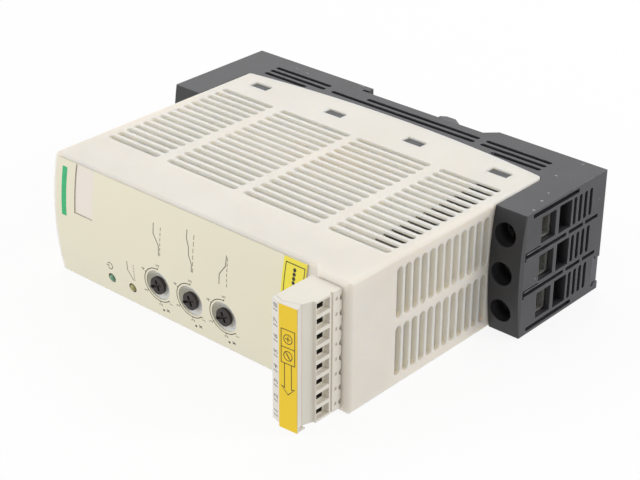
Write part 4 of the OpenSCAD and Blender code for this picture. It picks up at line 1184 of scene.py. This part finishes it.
def fine_sides(corners, steps=10):
    """Corners of a closed outline with points between them, so that it can follow a curve."""
    points = []
    for a, b in zip(corners, corners[1:] + corners[:1]):
        points += [(a[0] + (b[0] - a[0]) * i / steps, a[1] + (b[1] - a[1]) * i / steps) for i in range(steps)]
    return points


def corners_of(left, right, low, high):
    return [(left, low), (right, low), (right, high), (left, high)]


sticker = Drawing()
sticker.line(fine_sides(corners_of(FRAME_LEFT, FRAME_RIGHT, FRAME_LOW, FRAME_HIGH)), FRAME_W, closed=True)
for i in range(DOTS):
    sticker.dot(DOTS_RIGHT - i * STICKER_DOT_STEP, DOTS_Z, STICKER_DOT_R)
sticker.lay("sticker_print", on_bow, STICKER_TOP, ink_black, "starter")
print("sticker frame in mm:", round(FRAME_RIGHT - FRAME_LEFT, 1), "by", round(FRAME_HIGH - FRAME_LOW, 1))

# %% Slopes of the plug's front
# Y and Z of the edges of the plate, from its back edge over its ridge to its lower edge.
EAVE = (-131.3, -50.8)
RIDGE = (-132.5, -54.6)
CHIN = (-132.0, -61.2)
LABEL_T = 0.25


def on_slope(upper, lower):
    """Surface across X and down from one edge of the plug's front to the next, in millimetres."""
    way = (Vector(lower) - Vector(upper)).normalized()
    out = Vector((way.y, -way.x))

    def surface(x, v, lift):
        y, z = Vector(upper) - way * v + out * lift
        return at(x, y, z)
    return surface


print("length of the label's slope in mm:", round((Vector(CHIN) - Vector(RIDGE)).length, 1))

# %% Print on the label of the plug
LINE_W = 0.24
BOX_LEFT, BOX_MID, BOX_RIGHT, BOX_LOW, BOX_HIGH = 1.4, 6.7, 12.6, -5.8, -0.9
HEAD_V, HEAD_R = -3.35, 1.5
SLOTTED_U, CROSSED_U = 4.05, 9.6
SLOT_REACH, SLOT_RISE, SLOT_HALF = 1.1, 0.75, 0.3
CROSS_REACH = 0.95
SHAFT_END, HEAD_TIP, HEAD_BACK = -6.9, -9.0, -6.5
SHAFT_HALF, HEAD_HALF = 1.25, 2.35

label_print = Drawing()
label_print.line(corners_of(BOX_LEFT, BOX_RIGHT, BOX_LOW, BOX_HIGH), LINE_W, closed=True)
label_print.line([(BOX_MID, BOX_HIGH), (BOX_MID, BOX_LOW)], LINE_W)
for u in (SLOTTED_U, CROSSED_U):
    label_print.ring(u, HEAD_V, HEAD_R, LINE_W)
for shift in (-SLOT_HALF, SLOT_HALF):
    label_print.line([(SLOTTED_U - SLOT_REACH - shift, HEAD_V - SLOT_RISE - shift),
                      (SLOTTED_U + SLOT_REACH - shift, HEAD_V + SLOT_RISE - shift)], LINE_W * 0.8)
label_print.line([(CROSSED_U, HEAD_V + CROSS_REACH), (CROSSED_U, HEAD_V - CROSS_REACH)], LINE_W)
label_print.line([(CROSSED_U - CROSS_REACH, HEAD_V), (CROSSED_U + CROSS_REACH, HEAD_V)], LINE_W)
label_print.line([(BOX_LEFT, HEAD_V + SHAFT_HALF), (SHAFT_END, HEAD_V + SHAFT_HALF),
                  (HEAD_BACK, HEAD_V + HEAD_HALF), (HEAD_TIP, HEAD_V), (HEAD_BACK, HEAD_V - HEAD_HALF),
                  (SHAFT_END, HEAD_V - SHAFT_HALF), (BOX_LEFT, HEAD_V - SHAFT_HALF)], LINE_W)
label_print.lay("plug_label_print", on_slope(RIDGE, CHIN), LABEL_T, ink_black, "plug")
print("arrow length in mm:", round(BOX_LEFT - HEAD_TIP, 1))

# %% [markdown]
# ## Numbers on the plug
# Each way of the plug has a number on the slope above the label, so that a wire finds its place. The digits
# come from the typeface that Blender brings along, as flat shapes like the rest of the print.

# %% Numbers on the plug
PLUG_WAYS = 8
PLUG_PITCH = 5.08
FIRST_WAY = 11
WAY_V, WAY_H, WAY_BOLD = -2.0, 2.2, 0.03

way_numbers = Drawing()
for i in range(PLUG_WAYS):
    x = (i - (PLUG_WAYS - 1) / 2) * PLUG_PITCH
    way_numbers.number(str(FIRST_WAY + i), x, WAY_V, WAY_H, WAY_BOLD)
way_numbers.lay("plug_numbers", on_slope(EAVE, RIDGE), 0.0, ink_way, "plug")
print("numbered ways:", PLUG_WAYS)
